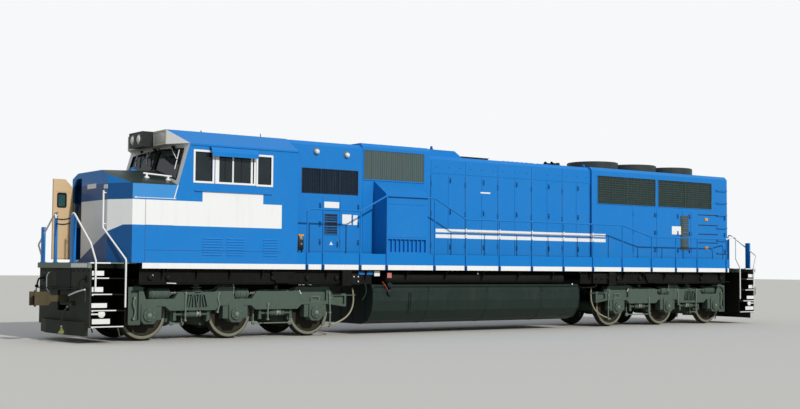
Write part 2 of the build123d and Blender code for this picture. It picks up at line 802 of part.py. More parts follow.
def make_intake_hood():
    """The air intake: upright slats, and the filter box that fills the walkway."""
    side = hood_half_width
    outer = sill_half_width - 28
    hood = hood_shell(engine_hood_front, intake_front, side, intake_top)
    x0, x1, z0, z1 = intake_screen
    hood -= left_and_right(block(x0, x1, side - recess_depth, side + 1, z0, z1))
    parts = [prism_x([(side, walkway_top), (outer, walkway_top), (outer, level + 3350),
                      (side, level + 3680)], filter_rear, filter_front)]
    parts += plates([(filter_rear + 30, filter_front - 20, level + 2310, level + 3070),
                     (filter_rear + 30, filter_front - 20, level + 3100, level + 3330)], outer)
    parts += plates([(3310, 3600, level + 1950, level + 3640),
                     (1620, 2010, level + 1950, level + 3640)], side)
    x = x0 + slat_pitch / 2
    while x < x1:
        parts.append(block(x - 9, x + 9, side - recess_depth - 5, side - 3, z0 - 5, z1 + 5))
        x += slat_pitch
    hood += [left_and_right(part) for part in parts]
    # A low opening in the box is crossed by upright ribs.
    mouth = block(filter_rear + 50, filter_front - 60, outer - 60, outer + 1, level + 1950,
                  level + 2260)
    ribs = [block(x, x + 16, outer - 65, outer - 4, level + 1945, level + 2265)
            for x in (filter_rear + 50 + index * rib_pitch for index in range(1, 9))]
    hood -= left_and_right(mouth)
    return hood + [left_and_right(rib) for rib in ribs]


door_seams = [1540.0, 430.0, -670.0, -1850.0, -2980.0, -4040.0]
door_low = level + 1930.0
door_high = level + 3930.0
panel_low = level + 3965.0
panel_high = level + 4290.0
roof_hatches = [(-3400.0, -2300.0), (-2150.0, -1050.0), (250.0, 430.0)]
hatch_margin = 240.0
lifting_lugs = [1400.0, -3950.0]
lug_margin = 160.0


def make_engine_hood():
    """The long hood over the engine, its doors in pairs between the seams."""
    side = hood_half_width
    hood = hood_shell(radiator_front, engine_hood_front, side, engine_hood_top)
    step = prism_y([(engine_step_rear, engine_hood_top), (engine_step_front, engine_step_top),
                    (engine_hood_front, engine_step_top), (engine_hood_front, engine_hood_top)],
                   -side + hood_bevel, side - hood_bevel)
    doors = []
    for x1, x0 in zip(door_seams, door_seams[1:]):
        middle = (x0 + x1) / 2
        gap = door_seam / 2
        doors += [(x0 + gap, middle - gap, door_low, door_high),
                  (middle + gap, x1 - gap, door_low, door_high),
                  (x0 + gap, x1 - gap, panel_low, panel_high)]
    hood += step
    hood += [left_and_right(plate) for plate in plates(doors, side)]
    top = engine_hood_top
    hatch_half = side - hatch_margin
    tops = [block(x0, x1, -hatch_half, hatch_half, top - 5, top + 22) for x0, x1 in roof_hatches]
    for x in lifting_lugs:
        z = engine_step_top if x > engine_step_front else top
        y = side - lug_margin
        lug = prism_x([(y - 60, z - 5), (y + 60, z - 5), (y + 20, z + 90), (y - 20, z + 90)],
                      x - 15, x + 15)
        tops.append(left_and_right(lug))
    return hood + tops


fans = [("front_fan", -5150.0), ("middle_fan", -6760.0), ("rear_fan", -8370.0)]
fan_hole_radius = 690.0
fan_tip_radius = 645.0
shroud_radius = 740.0
shroud_top = level + 4640.0
fan_shaft_radius = 30.0
fan_root_pitch = 36.0
fan_tip_pitch = 18.0


radiator_screens = [
    # X low, X high
    (-6650.0, -4280.0),
    (-9130.0, -6760.0),
]
screen_low = level + 3410.0
screen_high = level + 4200.0
shutter_pitch = 66.0
radiator_doors = [
    (-6650.0, -5700.0, level + 1950.0, level + 3340.0),
    (-7640.0, -6690.0, level + 1950.0, level + 3340.0),
    (-8140.0, -7800.0, level + 1950.0, level + 3340.0),
    (-9760.0, -8180.0, level + 1950.0, level + 3340.0),
]
rung_heights = [level + 2100.0, level + 2480.0, level + 2860.0, level + 3240.0, level + 3620.0,
                level + 4000.0]
rear_lamp_height = level + 4080.0


def make_radiator_hood():
    """The radiator end: shuttered screens, three fan rings, rear lamps and rungs."""
    side = radiator_half_width
    hood = hood_shell(radiator_rear, radiator_front, side, radiator_top)
    parts = []
    for x0, x1 in radiator_screens:
        hood -= left_and_right(block(x0, x1, side - recess_depth, side + 1, screen_low,
                                     screen_high))
        z = screen_low + shutter_pitch / 2
        while z < screen_high:
            parts.append(prism_x([(side - recess_depth - 5, z - 18), (side - 3, z - 26),
                                  (side - 3, z - 20), (side - recess_depth - 5, z + 10)],
                                 x0 - 5, x1 + 5))
            z += shutter_pitch
        middle = (x0 + x1) / 2
        parts.append(block(middle - 20, middle + 20, side - recess_depth - 5, side,
                           screen_low - 5, screen_high + 5))
    parts += plates(radiator_doors, side)
    parts += louvres(-8100, -7840, level + 2160, level + 3180, side + door_proud)
    hood += [left_and_right(part) for part in parts]
    for _, x in fans:
        hood -= round_z(x, 0, radiator_top - 200, radiator_top + 1, fan_hole_radius)
        ring = round_z(x, 0, radiator_top, shroud_top, shroud_radius)
        ring += round_z(x, 0, radiator_top, radiator_top + 30, shroud_radius + 40)
        ring -= round_z(x, 0, radiator_top - 1, shroud_top + 1, fan_hole_radius)
        hood += ring
        # Two beams carry the fan's motor.
        hood += block(x - 40, x + 40, -fan_hole_radius - 20, fan_hole_radius + 20,
                      radiator_top - 160, radiator_top - 120)
        hanger = block(x - 40, x + 40, fan_hole_radius, fan_hole_radius + 20,
                       radiator_top - 120, radiator_top - wall)
        hood += left_and_right(hanger)
        hood += round_z(x, 0, radiator_top - 120, radiator_top - 20, 160)
        hood += round_z(x, 0, radiator_top - 20, radiator_top + 50, fan_shaft_radius)
    # The rear wall carries two lamps in a box, between two number boards, and the rungs.
    box = block(radiator_rear - 110, radiator_rear + 5, -lamp_box_half, lamp_box_half,
                rear_lamp_height - 160, rear_lamp_height + 160)
    for y in (-lamp_side, lamp_side):
        box -= round_x(radiator_rear - 111, radiator_rear - 55, y, rear_lamp_height, lamp_radius)
    boards = left_and_right(block(radiator_rear - 60, radiator_rear + 5, board_inner + 40,
                                  board_outer - 20, rear_lamp_height - 120, rear_lamp_height + 120))
    rungs = []
    for z in rung_heights[:4]:
        rungs.append(tube([(radiator_rear + 5, 560, z), (radiator_rear - 90, 560, z),
                           (radiator_rear - 90, 960, z), (radiator_rear + 5, 960, z)], 11, 25))
    for z in rung_heights:
        rungs.append(left_and_right(tube([(-9780, side - 5, z), (-9780, side + 75, z),
                                          (-9340, side + 75, z), (-9340, side - 5, z)], 11, 25)))
    return hood + [box, boards] + rungs


def make_fan(x):
    """Eight twisted blades round a hub."""
    low = radiator_top - 10
    fan = round_z(x, 0, low, low + 130, 190)
    root = Plane(origin=(0, 150, 0), x_dir=(1, 0, 0), z_dir=(0, 1, 0))
    tip = Plane(origin=(0, fan_tip_radius, 0), x_dir=(1, 0, 0), z_dir=(0, 1, 0))
    root *= Rot(0, 0, fan_root_pitch) * Rectangle(200, 14)
    tip *= Rot(0, 0, fan_tip_pitch) * Rectangle(250, 9)
    blade = loft([root, tip])
    fan += [Pos(x, 0, low + 65) * Rot(0, 0, index * 45) * blade for index in range(8)]
    return fan - round_z(x, 0, low - 1, low + 71, fan_shaft_radius + pin_gap)


def make_fan_guards():
    guards = []
    for _, x in fans:
        rings = []
        for radius in (160, 300, 440, 580, 715):
            ring = round_z(x, 0, shroud_top, shroud_top + 14, radius)
            rings.append(ring - round_z(x, 0, shroud_top - 1, shroud_top + 15, radius - 22))
        bars = [Pos(x, 0, shroud_top + 7) * Rot(0, 0, angle) * Box(1400, 26, 14)
                for angle in (0, 45, 90, 135)]
        guards.append(rings[0] + rings[1:] + bars)
    return guards[0] + guards[1:]


def make_engine_block():
    """The engine's crankcase with its two banks, and the generator ahead of it."""
    base = deck_top
    section = [(-420, base), (420, base), (470, base + 500), (760, base + 1350),
               (420, base + 1620), (160, base + 1180), (-160, base + 1180), (-420, base + 1620),
               (-760, base + 1350), (-470, base + 500)]
    block_mass = prism_x(section, -3600, 250)
    generator = round_x(250, 1250, 0, base + 640, 560)
    foot = block(250, 1200, -480, 480, base, base + 300)
    return block_mass + generator + foot


exhaust_x = -400.0
exhaust_height = 110.0


def make_exhaust():
    """A flared rectangular stack."""
    base = Plane.XY.offset(engine_hood_top)
    top = Plane.XY.offset(engine_hood_top + exhaust_height)
    centre = Pos(exhaust_x, 0)
    outside = loft([base * centre * Rectangle(900, 520), top * centre * Rectangle(1060, 700)])
    inside = loft([base.offset(20) * centre * Rectangle(840, 460),
                   top * centre * Rectangle(1020, 660)])
    return outside - inside


horn_x = -3680.0
horn_bells = [
    # Y, length
    (-110.0, 300.0),
    (0.0, 390.0),
    (110.0, 250.0),
]


def make_horn():
    """Three flared trumpets on one manifold."""
    z = engine_hood_top + 130
    horn = block(horn_x - 90, horn_x + 130, -150, 150, engine_hood_top, engine_hood_top + 40)
    manifold = round_y(horn_x, -150, 150, z, 34)
    post = round_z(horn_x, 0, engine_hood_top + 30, z, 26)
    trumpets = []
    for y, length in horn_bells:
        end = horn_x + length
        bell = [(horn_x, 0), (horn_x, 42), (horn_x + 50, 40), (horn_x + 70, 17),
                (end - 90, 26), (end - 40, 38), (end, 62), (end, 54), (end - 40, 26), (end - 40, 0)]
        trumpets.append(turned_x(bell, y, z))
    return horn + [manifold, post] + trumpets


# Handrails

rail_radius = 19.0
post_radius = 17.0
post_side = sill_half_width + rail_radius
foot_half = 35.0
rail_posts = [
    # X, height of the rail above the track
    (5070.0, 2900.0), (4040.0, 2900.0), (3280.0, 3290.0), (1840.0, 3290.0), (850.0, 2800.0),
    (-260.0, 2800.0), (-1370.0, 2800.0), (-2500.0, 2800.0), (-3600.0, 2800.0),
    (-4740.0, 2800.0), (-5920.0, 2500.0), (-6940.0, 2500.0), (-7870.0, 2500.0),
]
side_rail_front = 5500.0
side_rail_end = -9180.0
step_rail_side = step_outer + 30.0
left_nose_rail = nose_front_half - 70
right_nose_rail = body_half_width - 300
stub_radius = 12.0


def make_side_rail():
    """The rail along the left walkway, its posts footed on the sill."""
    foot = deck_top - sill_height
    ends = [(side_rail_front, 2900.0), (side_rail_end, 2500.0)]
    line = [(x, post_side, level + height) for x, height in [ends[0]] + rail_posts + [ends[1]]]
    line = [(side_rail_front, post_side, foot)] + line + [(side_rail_end, post_side, foot)]
    handrail = tube(line, rail_radius)
    for x, height in rail_posts:
        handrail += round_z(x, post_side, foot, level + height, post_radius)
    for x, _ in ends + rail_posts:
        handrail += block(x - foot_half, x + foot_half, sill_half_width, post_side, foot, deck_top)
    return handrail


def make_platform_rail():
    """The left half of the end rail, down to the front edge of the steps."""
    side = step_rail_side
    end_x = frame_half_length - 25
    end_rail = tube([(end_x, 480, deck_top), (end_x, 480, level + 2690), (end_x, 620, level + 2650),
                     (end_x, side, level + 2030), (step_front, side, level + 1670),
                     (step_front, side, level + 1040)], rail_radius, 60)
    return end_rail + round_y(step_front, step_outer, side, level + 1100, stub_radius)


def make_nose_rail(y):
    """The rail from the nose down to the rear edge of the left steps."""
    side = step_rail_side
    slope = (nose_front - nose_corner) / (nose_half_width - nose_front_half)
    wall_x = nose_front - max(0, y - nose_front_half) * slope
    rail_x = wall_x + 60
    nose_rail = tube([(rail_x, y, level + 3150), (rail_x, y, level + 2370),
                      (step_rear, side, level + 1700), (step_rear, side, level + 720)], rail_radius)
    foot_x = wall_x + (stub_radius * slope if y > nose_front_half else 0)
    for z in (level + 3100, level + 2450):
        nose_rail += round_x(foot_x, rail_x, y, z, stub_radius)
    return nose_rail + round_y(step_rear, step_outer, side, level + 800, stub_radius)


def make_rear_step_rail():
    """The last post of the side rail, down to the rear left steps."""
    side = step_rail_side
    x = -step_rear + 190
    post = tube([(side_rail_end - rail_radius - 1, side, level + 2500), (x, side, level + 2600),
                 (x, side, level + 1920), (-step_rear, side, level + 1660),
                 (-step_rear, side, level + 720)], rail_radius)
    post += round_y(x, platform_half_width, side, deck_top - 10, stub_radius / 2)
    return post + round_y(-step_rear, step_outer, side, level + 800, stub_radius)


def make_front_rails():
    left = make_nose_rail(left_nose_rail)
    right = mirror(make_nose_rail(right_nose_rail), about=Plane.XZ)
    return left + right + left_and_right(make_platform_rail())


def make_rear_rails():
    end = mirror(make_platform_rail(), about=Plane.YZ)
    return left_and_right(end + make_rear_step_rail())


# Trucks

frame_inner = 900.0
frame_outer = 1130.0
box_outer = 1143.0
box_half = 175.0
cap_outer = 1176.0
axle_places = (axle_spacing, 0.0, -axle_spacing)
transom_low = level + 890.0
transom_high = level + 1050.0
spine_top = level + 1120.0
bowl_top = centre_plate_bottom - swivel_gap
motor_radius = 290.0
motor_half_width = 600.0
motor_offset = 560.0
gear_case_radius = 400.0
casting_corner = 32.0
frame_outline = [
    # X from the truck's centre toward its outer end, Z above the level
    (2545, 330), (2545, 1130), (2230, 1130), (2150, 870), (1500, 870), (1390, 1020), (520, 1020),
    (430, 1125), (90, 1125), (40, 860), (-400, 860), (-520, 1030), (-1470, 1030), (-1560, 1120),
    (-2440, 1120), (-2520, 960), (-2930, 960), (-2930, 650), (-2450, 720), (-1700, 720),
    (-1590, 620), (-500, 620), (-390, 715), (390, 715), (500, 620), (1590, 620), (1700, 715),
    (2260, 715), (2270, 330),
]
frame_pockets = [
    # Hollows in the outer face, left open between upright columns
    [(700, 680), (1250, 680), (1180, 960), (770, 960)],
    [(-2370, 790), (-1640, 790), (-1640, 1050), (-2370, 1050)],
    [(2310, 420), (2500, 420), (2500, 1060), (2310, 1060)],
    [(-2880, 700), (-2560, 760), (-2560, 910), (-2880, 910)],
]
pocket_depth = 60.0
spring_ribs = [
    # X at the foot and at the top of each rib in the spring pocket
    (760, 820), (850, 850), (940, 900), (940, 985), (1030, 1030), (1120, 1060), (1180, 1130),
]
rib_half = 11.0
pedestal_legs = [
    # X low, X high, Z low above the level
    (1780, 1898, 430), (182, 315, 430), (-300, -182, 430), (-1898, -1780, 430), (-2370, -2260, 430),
]
brake_cylinders = [
    # X at the foot, X at the nose, Z of the axis above the level
    (2080, 1500, 985),
    (30, -400, 975),
]
brake_cylinder_side = 1035.0
brake_cylinder_radius = 122.0
shoe_gap = 12.0
shoe_depth = 48.0
shoe_inner = 724.0
shoe_outer = 804.0
shoes = [
    # X of the axle, side of the wheel the shoe is on
    (axle_spacing, -1), (0.0, 1), (0.0, -1), (-axle_spacing, 1),
]
rigging_centres = [1040.0, -1060.0]
sand_pipe_radius = 16.0
sand_pipe_ahead = axle_spacing + tread_radius + 75.6


def raised(points):
    """Truck outline points lifted from the level to their place."""
    return [(x, level + z) for x, z in points]


def make_side_frame():
    """The left side frame: one casting with pockets, ribs, pedestals and journal boxes."""
    face = frame_outer
    side = cast_y(raised(frame_outline), frame_inner, face, casting_corner)
    for pocket in frame_pockets:
        side -= cast_y(raised(pocket), face - pocket_depth, face + 1, casting_corner)
    parts = []
    for foot, top in spring_ribs:
        rib = [(foot - rib_half, 670), (foot + rib_half, 670), (top + rib_half, 970),
               (top - rib_half, 970)]
        parts.append(prism_y(raised(rib), face - pocket_depth - 5, face - 6))
    for x0, x1, z in pedestal_legs:
        parts.append(block(x0, x1, frame_inner + 20, face - 15, level + z, level + 760))
    low = axle_height - level
    for x in axle_places:
        shell = [(x - box_half, low - 110), (x - 110, low - 190), (x + 110, low - 190),
                 (x + box_half, low - 110), (x + box_half, 790), (x - box_half, 790)]
        parts.append(cast_y(raised(shell), frame_inner, box_outer, casting_corner))
        parts.append(round_y(x, box_outer - 5, cap_outer, axle_height, 132))
        parts.append(round_y(x, cap_outer - 5, cap_outer + 14, axle_height, 84))
    for x0, x1, z in brake_cylinders:
        parts += make_brake_cylinder(x0, x1, level + z)
    parts += make_rigging()
    parts += make_top_fittings()
    return side + parts


def make_brake_cylinder(foot, nose, z):
    """A brake cylinder lying along the frame: flanged barrel, cone and push rod."""
    r = brake_cylinder_radius
    profile = [(foot, 0), (foot, r - 25), (foot - 25, r), (foot - 60, r), (foot - 60, r + 14),
               (foot - 85, r + 14), (foot - 85, r), (nose + 150, r), (nose + 150, r + 14),
               (nose + 125, r + 14), (nose + 125, r - 8), (nose + 40, 48), (nose + 40, 30),
               (nose - 70, 30), (nose - 70, 0)]
    barrel = turned_x(profile, brake_cylinder_side, z)
    middle = (foot + nose) / 2
    saddle = block(middle - 90, middle + 90, brake_cylinder_side - 70, brake_cylinder_side + 60,
                   z - r - 40, z)
    return [barrel, saddle]


def make_rigging():
    """Shoes, their hangers, and the levers and adjusters under the frame."""
    parts = []
    for x, sign in shoes:
        near = tread_radius + shoe_gap
        ring = round_y(x, shoe_inner, shoe_outer, axle_height, near + shoe_depth)
        ring -= round_y(x, shoe_inner - 1, shoe_outer + 1, axle_height, near)
        edges = sorted((x + sign * (near - shoe_depth * 2), x + sign * (near + shoe_depth * 2)))
        shoe = ring & block(*edges, shoe_inner, shoe_outer, axle_height - 170, axle_height + 190)
        far = sorted((x + sign * (near + 15), x + sign * (near + shoe_depth + 25)))
        hanger = block(*far, shoe_outer - 30, frame_inner + 30, level + 640, level + 730)
        strap = block(*far, shoe_outer - 30, shoe_outer, axle_height - 60, level + 730)
        parts += [shoe, hanger, strap]
    for x in rigging_centres:
        side = (frame_inner + frame_outer) / 2
        z = level + 530
        adjuster = [(x - 420, 0), (x - 420, 26), (x - 230, 26), (x - 230, 58), (x + 150, 58),
                    (x + 150, 40), (x + 210, 40), (x + 210, 26), (x + 420, 26), (x + 420, 0)]
        parts.append(turned_x(adjuster, side, z))
        for end in (x - 400, x + 400):
            lever = [(end - 38, level + 400), (end + 38, level + 400), (end + 26, level + 660),
                     (end - 26, level + 660)]
            parts.append(prism_y(lever, side - 28, side + 28))
        hanger = [(x - 55, z), (x + 55, z), (x + 85, level + 640), (x - 85, level + 640)]
        parts.append(prism_y(hanger, side - 45, side + 45))
    return parts


def make_top_fittings():
    """The yaw damper's foot, the side bearing and the sand pipe."""
    side = (frame_inner + frame_outer) / 2
    damper = round_z(-1080, side, level + 1020, level + 1150, 42)
    bearing = turned_z([(0, 1010), (100, 1010), (100, 1080), (60, 1100), (60, 1170), (92, 1180),
                        (92, 1205), (34, 1215), (34, 1400), (0, 1400)], 940, 1030)
    ahead = sand_pipe_ahead
    sand = tube([(2480, 960, level + 800), (ahead, 860, level + 770),
                 (ahead, 762, axle_height), (ahead - 128, 750, rail + 90)], sand_pipe_radius, 60)
    return [damper, bearing, sand]


def turned_z(profile, x, y):
    """A (radius, Z above the level) outline turned about an upright line."""
    face = Plane.XZ * Polygon(*raised(profile), align=None)
    return Pos(x, y, 0) * revolve(face, Axis.Z)


def make_truck_frame():
    """Two cast side frames joined by transoms, a spine and the centre bowl."""
    frame = left_and_right(make_side_frame())
    for x in axle_places:
        frame -= round_y(x, -journal_end - 10, journal_end + 10, axle_height,
                         journal_radius + bearing_gap)
    for x in (-axle_spacing / 2, axle_spacing / 2):
        frame += block(x - 180, x + 180, -frame_inner - 5, frame_inner + 5, transom_low,
                       transom_high - 40)
    frame += block(-axle_spacing / 2 + 170, axle_spacing / 2 - 170, -420, 420, level + 900,
                   spine_top)
    frame += round_z(0, 0, spine_top, bowl_top, centre_plate_radius + 60)
    return frame - round_z(0, 0, centre_pin_bottom - 20, bowl_top + 1, centre_pin_radius + 2)


motors_at = [
    # X of the axle, X of the motor from it
    (axle_spacing, -motor_offset),
    (0.0, motor_offset),
    (-axle_spacing, motor_offset),
]


def make_motors():
    """Three motors hung on their axles, each with a gear case and a nose link."""
    motors = []
    for x, offset_x in motors_at:
        half = motor_half_width
        centre = x + offset_x
        case = round_y(centre, -half, half, axle_height + 20, motor_radius)
        arm = block(min(x, centre), max(x, centre), -half, half, axle_height - 150,
                    axle_height + 150)
        sleeve = round_y(x, -half, half, axle_height, 170)
        gears = round_y(x, -half + 10, -half + 120, axle_height, gear_case_radius)
        motor = case + [arm, sleeve, gears]
        motor -= round_y(x, -half - 1, half + 1, axle_height, axle_radius + 3)
        top = transom_low if abs(centre) > 1000 else level + 900
        motor += block(centre - 150, centre + 150, -200, 200, axle_height + 200, top)
        motors.append(motor)
    return motors[0] + motors[1:]


def make_wheelset():
    """One axle with its two flanged wheels, turned about Y."""
    inner = wheel_inner_face
    outer = wheel_inner_face + wheel_width
    profile = [(0, 0), (axle_radius, 0), (axle_radius, inner - 30), (150, inner),
               (flange_radius - 70, inner), (flange_radius - 8, inner + 4),
               (flange_radius, inner + 14), (flange_radius - 6, inner + 26),
               (tread_radius + 2, inner + 38), (tread_radius - 5, outer - 6),
               (tread_radius - 12, outer), (tread_radius - 75, outer),
               (tread_radius - 85, outer - 35), (190, outer - 50), (170, outer + 20),
               (journal_radius, outer + 30), (journal_radius, journal_end), (0, journal_end)]
    face = Plane.XY * Polygon(*profile, align=None)
    right = revolve(face, Axis.Y)
    wheelset = right + mirror(right, about=Plane.XZ)
    return Pos(0, 0, axle_height) * wheelset


def place_trucks():
    frame = make_truck_frame()
    motors = make_motors()
    wheelset = make_wheelset()
    for name, centre, turn in (("front", truck_centre, 0), ("rear", -truck_centre, 180)):
        place = Pos(centre, 0, 0) * Rot(0, 0, turn)
        save(place * frame, f"{name}_truck_frame")
        save(place * motors, f"{name}_motors")
        for number, x in enumerate(axle_places, start=1):
            save(place * Pos(x, 0, 0) * wheelset, f"{name}_wheelset_{number}")


def main():
    save(make_underframe(), "underframe")
    end = make_end()
    save(end, "front_pilot")
    save(Rot(0, 0, 180) * end, "rear_pilot")
    save(make_hose(), "front_brake_hose")
    save(make_coupling(), "front_hose_coupling")
    coupler = make_coupler()
    save(coupler, "front_coupler")
    save(Rot(0, 0, 180) * coupler, "rear_coupler")
    save(make_fuel_tank(), "fuel_tank")
    save(make_reservoirs(), "air_reservoirs")
    save(make_nose(), "nose")
    save(make_nose_door(), "nose_door")
    side = make_cab_side()
    save(side, "cab_left_side")
    save(mirror(side, about=Plane.XZ), "cab_right_side")
    save(make_cab_cowl(), "cab_cowl")
    save(make_cab_front(), "cab_front")
    save(make_cab_roof(), "cab_roof")
    save(make_headlight_housing(), "headlight_housing")
    save(make_cab_rear_wall(), "cab_rear_wall")
    save(make_rear_door(), "cab_rear_door")
    save(make_glass(), "cab_glass")
    save(make_seats(), "cab_seats")
    save(make_cab_floor(), "cab_floor")
    save(make_electrical_cabinet(), "electrical_cabinet")
    save(make_intake_hood(), "intake_hood")
    save(make_engine_hood(), "engine_hood")
    save(make_radiator_hood(), "radiator_hood")
    for name, x in fans:
        save(make_fan(x), name)
    save(make_fan_guards(), "fan_guards")
    save(make_engine_block(), "engine_block")
    save(make_exhaust(), "exhaust_stack")
    save(make_horn(), "horn")
    side_rail = make_side_rail()
    save(side_rail, "left_handrails")
    save(mirror(side_rail, about=Plane.XZ), "right_handrails")
    save(make_front_rails(), "front_handrails")
    save(make_rear_rails(), "rear_handrails")
    place_trucks()


main()
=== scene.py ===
import math
import bpy
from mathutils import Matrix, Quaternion, Vector


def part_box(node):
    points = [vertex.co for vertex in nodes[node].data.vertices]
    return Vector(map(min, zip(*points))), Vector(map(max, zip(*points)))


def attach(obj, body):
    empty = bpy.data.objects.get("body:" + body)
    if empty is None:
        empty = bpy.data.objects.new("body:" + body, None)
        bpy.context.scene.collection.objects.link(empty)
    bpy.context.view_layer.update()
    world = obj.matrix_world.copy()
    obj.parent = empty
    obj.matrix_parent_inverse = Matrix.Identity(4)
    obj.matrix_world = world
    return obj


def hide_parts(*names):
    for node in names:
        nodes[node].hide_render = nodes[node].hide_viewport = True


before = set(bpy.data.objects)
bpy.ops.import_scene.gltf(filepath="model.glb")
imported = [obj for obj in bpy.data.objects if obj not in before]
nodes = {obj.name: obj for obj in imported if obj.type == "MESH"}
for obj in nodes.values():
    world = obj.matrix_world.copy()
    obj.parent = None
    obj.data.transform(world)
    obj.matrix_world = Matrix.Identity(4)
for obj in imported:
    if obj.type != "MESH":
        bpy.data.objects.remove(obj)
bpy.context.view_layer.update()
rail = 0.0286      # the rail's top above the floor that the flanges stand on
hoodSide = 1.0     # the hood walls, out from the middle
radiatorSide = 1.06
cabSide = 1.55
deckTop = rail + 1.637


# Picking, shaping and joining

def clearPick():
    bpy.ops.object.select_all(action="DESELECT")


def pick(piece):
    clearPick()
    piece.select_set(True)
    bpy.context.view_layer.objects.active = piece


def applyPlace(piece):
    pick(piece)
    bpy.ops.object.transform_apply(location=True, rotation=True, scale=True)
    return piece


def shape(piece, kind, **settings):
    pick(piece)
    modifier = piece.modifiers.new(kind.lower(), kind)
    for name, value in settings.items():
        setattr(modifier, name, value)
    bpy.ops.object.modifier_apply(modifier=modifier.name)
    return piece


def slab(low, high, edge=0.004, steps=1):   # a block with eased edges, between two corners
    middle = [(a + b) / 2 for a, b in zip(low, high)]
    size = [abs(b - a) for a, b in zip(low, high)]
    clearPick()
    bpy.ops.mesh.primitive_cube_add(size=1, location=middle, scale=size)
    piece = applyPlace(bpy.context.object)
    if edge:
        shape(piece, "BEVEL", width=min(edge, min(size) * 0.45), segments=steps)
    return piece


def rod(start, end, radius, sides=12):   # a bar between two points
    start, end = Vector(start), Vector(end)
    along = end - start
    clearPick()
    bpy.ops.mesh.primitive_cone_add(vertices=sides, radius1=radius, radius2=radius, depth=along.length,
                                    location=(start + end) / 2,
                                    rotation=along.to_track_quat("Z", "Y").to_euler())
    return applyPlace(bpy.context.object)


def lathe(profile, centre, axis, sides=28):   # (along, radius) points turned round an axis
    clearPick()
    bpy.ops.mesh.primitive_circle_add(vertices=sides, radius=profile[0][1], fill_type="NGON")
    piece = bpy.context.object
    bpy.ops.object.mode_set(mode="EDIT")
    bpy.ops.mesh.select_all(action="SELECT")
    for (before, oldRadius), (along, radius) in zip(profile, profile[1:]):
        bpy.ops.mesh.extrude_region_move(TRANSFORM_OT_translate={"value": (0, 0, along - before)})
        scale = radius / oldRadius
        if abs(scale - 1) > 1e-6:
            bpy.ops.transform.resize(value=(scale, scale, 1))
    bpy.ops.mesh.select_all(action="SELECT")
    bpy.ops.mesh.normals_make_consistent(inside=False)
    bpy.ops.object.mode_set(mode="OBJECT")
    piece.location = Vector(centre)
    piece.rotation_euler = Vector(axis).to_track_quat("Z", "Y").to_euler()
    return applyPlace(piece)


def newCurve(name, points, radius, rings, steps, closed=False):   # straight runs where steps is 0
    curve = bpy.data.curves.new(name, "CURVE")
    curve.dimensions = "3D"
    spline = curve.splines.new("NURBS" if steps else "POLY")
    spline.points.add(len(points) - 1)
    for target, point in zip(spline.points, points):
        target.co = (*point, 1)
    if steps:
        spline.order_u = 3
        spline.use_endpoint_u = not closed
        spline.use_cyclic_u = closed
        spline.resolution_u = steps
    curve.bevel_depth = radius
    curve.bevel_resolution = rings
    curve.use_fill_caps = not closed
    piece = bpy.data.objects.new(name, curve)
    bpy.context.scene.collection.objects.link(piece)
    return piece


def meshed(curve):
    pick(curve)
    bpy.ops.object.convert(target="MESH")
    return bpy.context.object


def bentPipe(points, radius, sides=8, curved=False):   # a pipe or bar through points
    return meshed(newCurve("pipe", points, radius, max(0, sides // 4 - 1), 6 if curved else 0))


def lathes(profile, places, axis, sides):
    return [lathe(profile, place, axis, sides) for place in places]


def windowRing(low, high, width, edge=0.004):   # a frame in the X-Z plane, cut through along Y
    piece = slab(low, high, 0)
    bpy.ops.object.mode_set(mode="EDIT")
    bpy.ops.mesh.select_mode(type="FACE")
    bpy.ops.mesh.select_all(action="DESELECT")
    bpy.ops.object.mode_set(mode="OBJECT")
    for face in piece.data.polygons:
        face.select = abs(face.normal.y) > 0.9
    bpy.ops.object.mode_set(mode="EDIT")
    bpy.ops.mesh.inset(thickness=width, use_individual=True)
    bpy.ops.mesh.bridge_edge_loops()
    bpy.ops.object.mode_set(mode="OBJECT")
    return shape(piece, "BEVEL", width=edge, segments=1) if edge else piece


def repeat(piece, count, step):
    return shape(piece, "ARRAY", count=count, use_relative_offset=False,
                 use_constant_offset=True, constant_offset_displace=step)


def twin(piece):   # a copy with its own mesh
    copy = piece.copy()
    copy.data = piece.data.copy()
    bpy.context.scene.collection.objects.link(copy)
    return copy


def copiesAt(piece, places):   # one copy at each place, joined, and the model removed
    copies = []
    for place in places:
        copy = twin(piece)
        copy.location = place
        copies.append(copy)
    made = join(copies)
    bpy.data.objects.remove(piece)
    return applyPlace(made)


def bothSides(piece):
    return shape(piece, "MIRROR", use_axis=(False, True, False), use_mirror_merge=False)


def bothEnds(piece):
    return shape(piece, "MIRROR", use_axis=(True, False, False), use_mirror_merge=False)


def turnedRound(piece):   # a copy half a turn round the middle, for the other end
    copy = twin(piece)
    copy.rotation_euler = (0, 0, math.pi)
    return applyPlace(copy)


def join(pieces):
    clearPick()
    for piece in pieces:
        piece.select_set(True)
    bpy.context.view_layer.objects.active = pieces[0]
    if len(pieces) > 1:
        bpy.ops.object.join()
    return bpy.context.view_layer.objects.active


def fit(name, parts, look, sides=False, body="main_body", smooth=0.6):   # a finished piece
    piece = join(parts)
    if sides:
        bothSides(piece)
    piece.data.materials.clear()
    piece.data.materials.append(materials[look])
    piece.name = name
    piece.data.name = name
    pick(piece)
    bpy.ops.object.shade_smooth_by_angle(angle=smooth)
    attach(piece, body)
    return piece


# Shared effects

def newGroup(name, inputs, outputs):
    group = bpy.data.node_groups.new(name, "ShaderNodeTree")
    for label, kind, value in inputs:
        socket = group.interface.new_socket(name=label, in_out="INPUT", socket_type=kind)
        socket.default_value = value
    for label, kind in outputs:
        group.interface.new_socket(name=label, in_out="OUTPUT", socket_type=kind)
    return group, group.nodes.new("NodeGroupInput"), group.nodes.new("NodeGroupOutput")


def feed(tree, socket, value):   # a link where the value is another node's output
    if isinstance(value, bpy.types.NodeSocket):
        tree.links.new(value, socket)
    else:
        socket.default_value = value


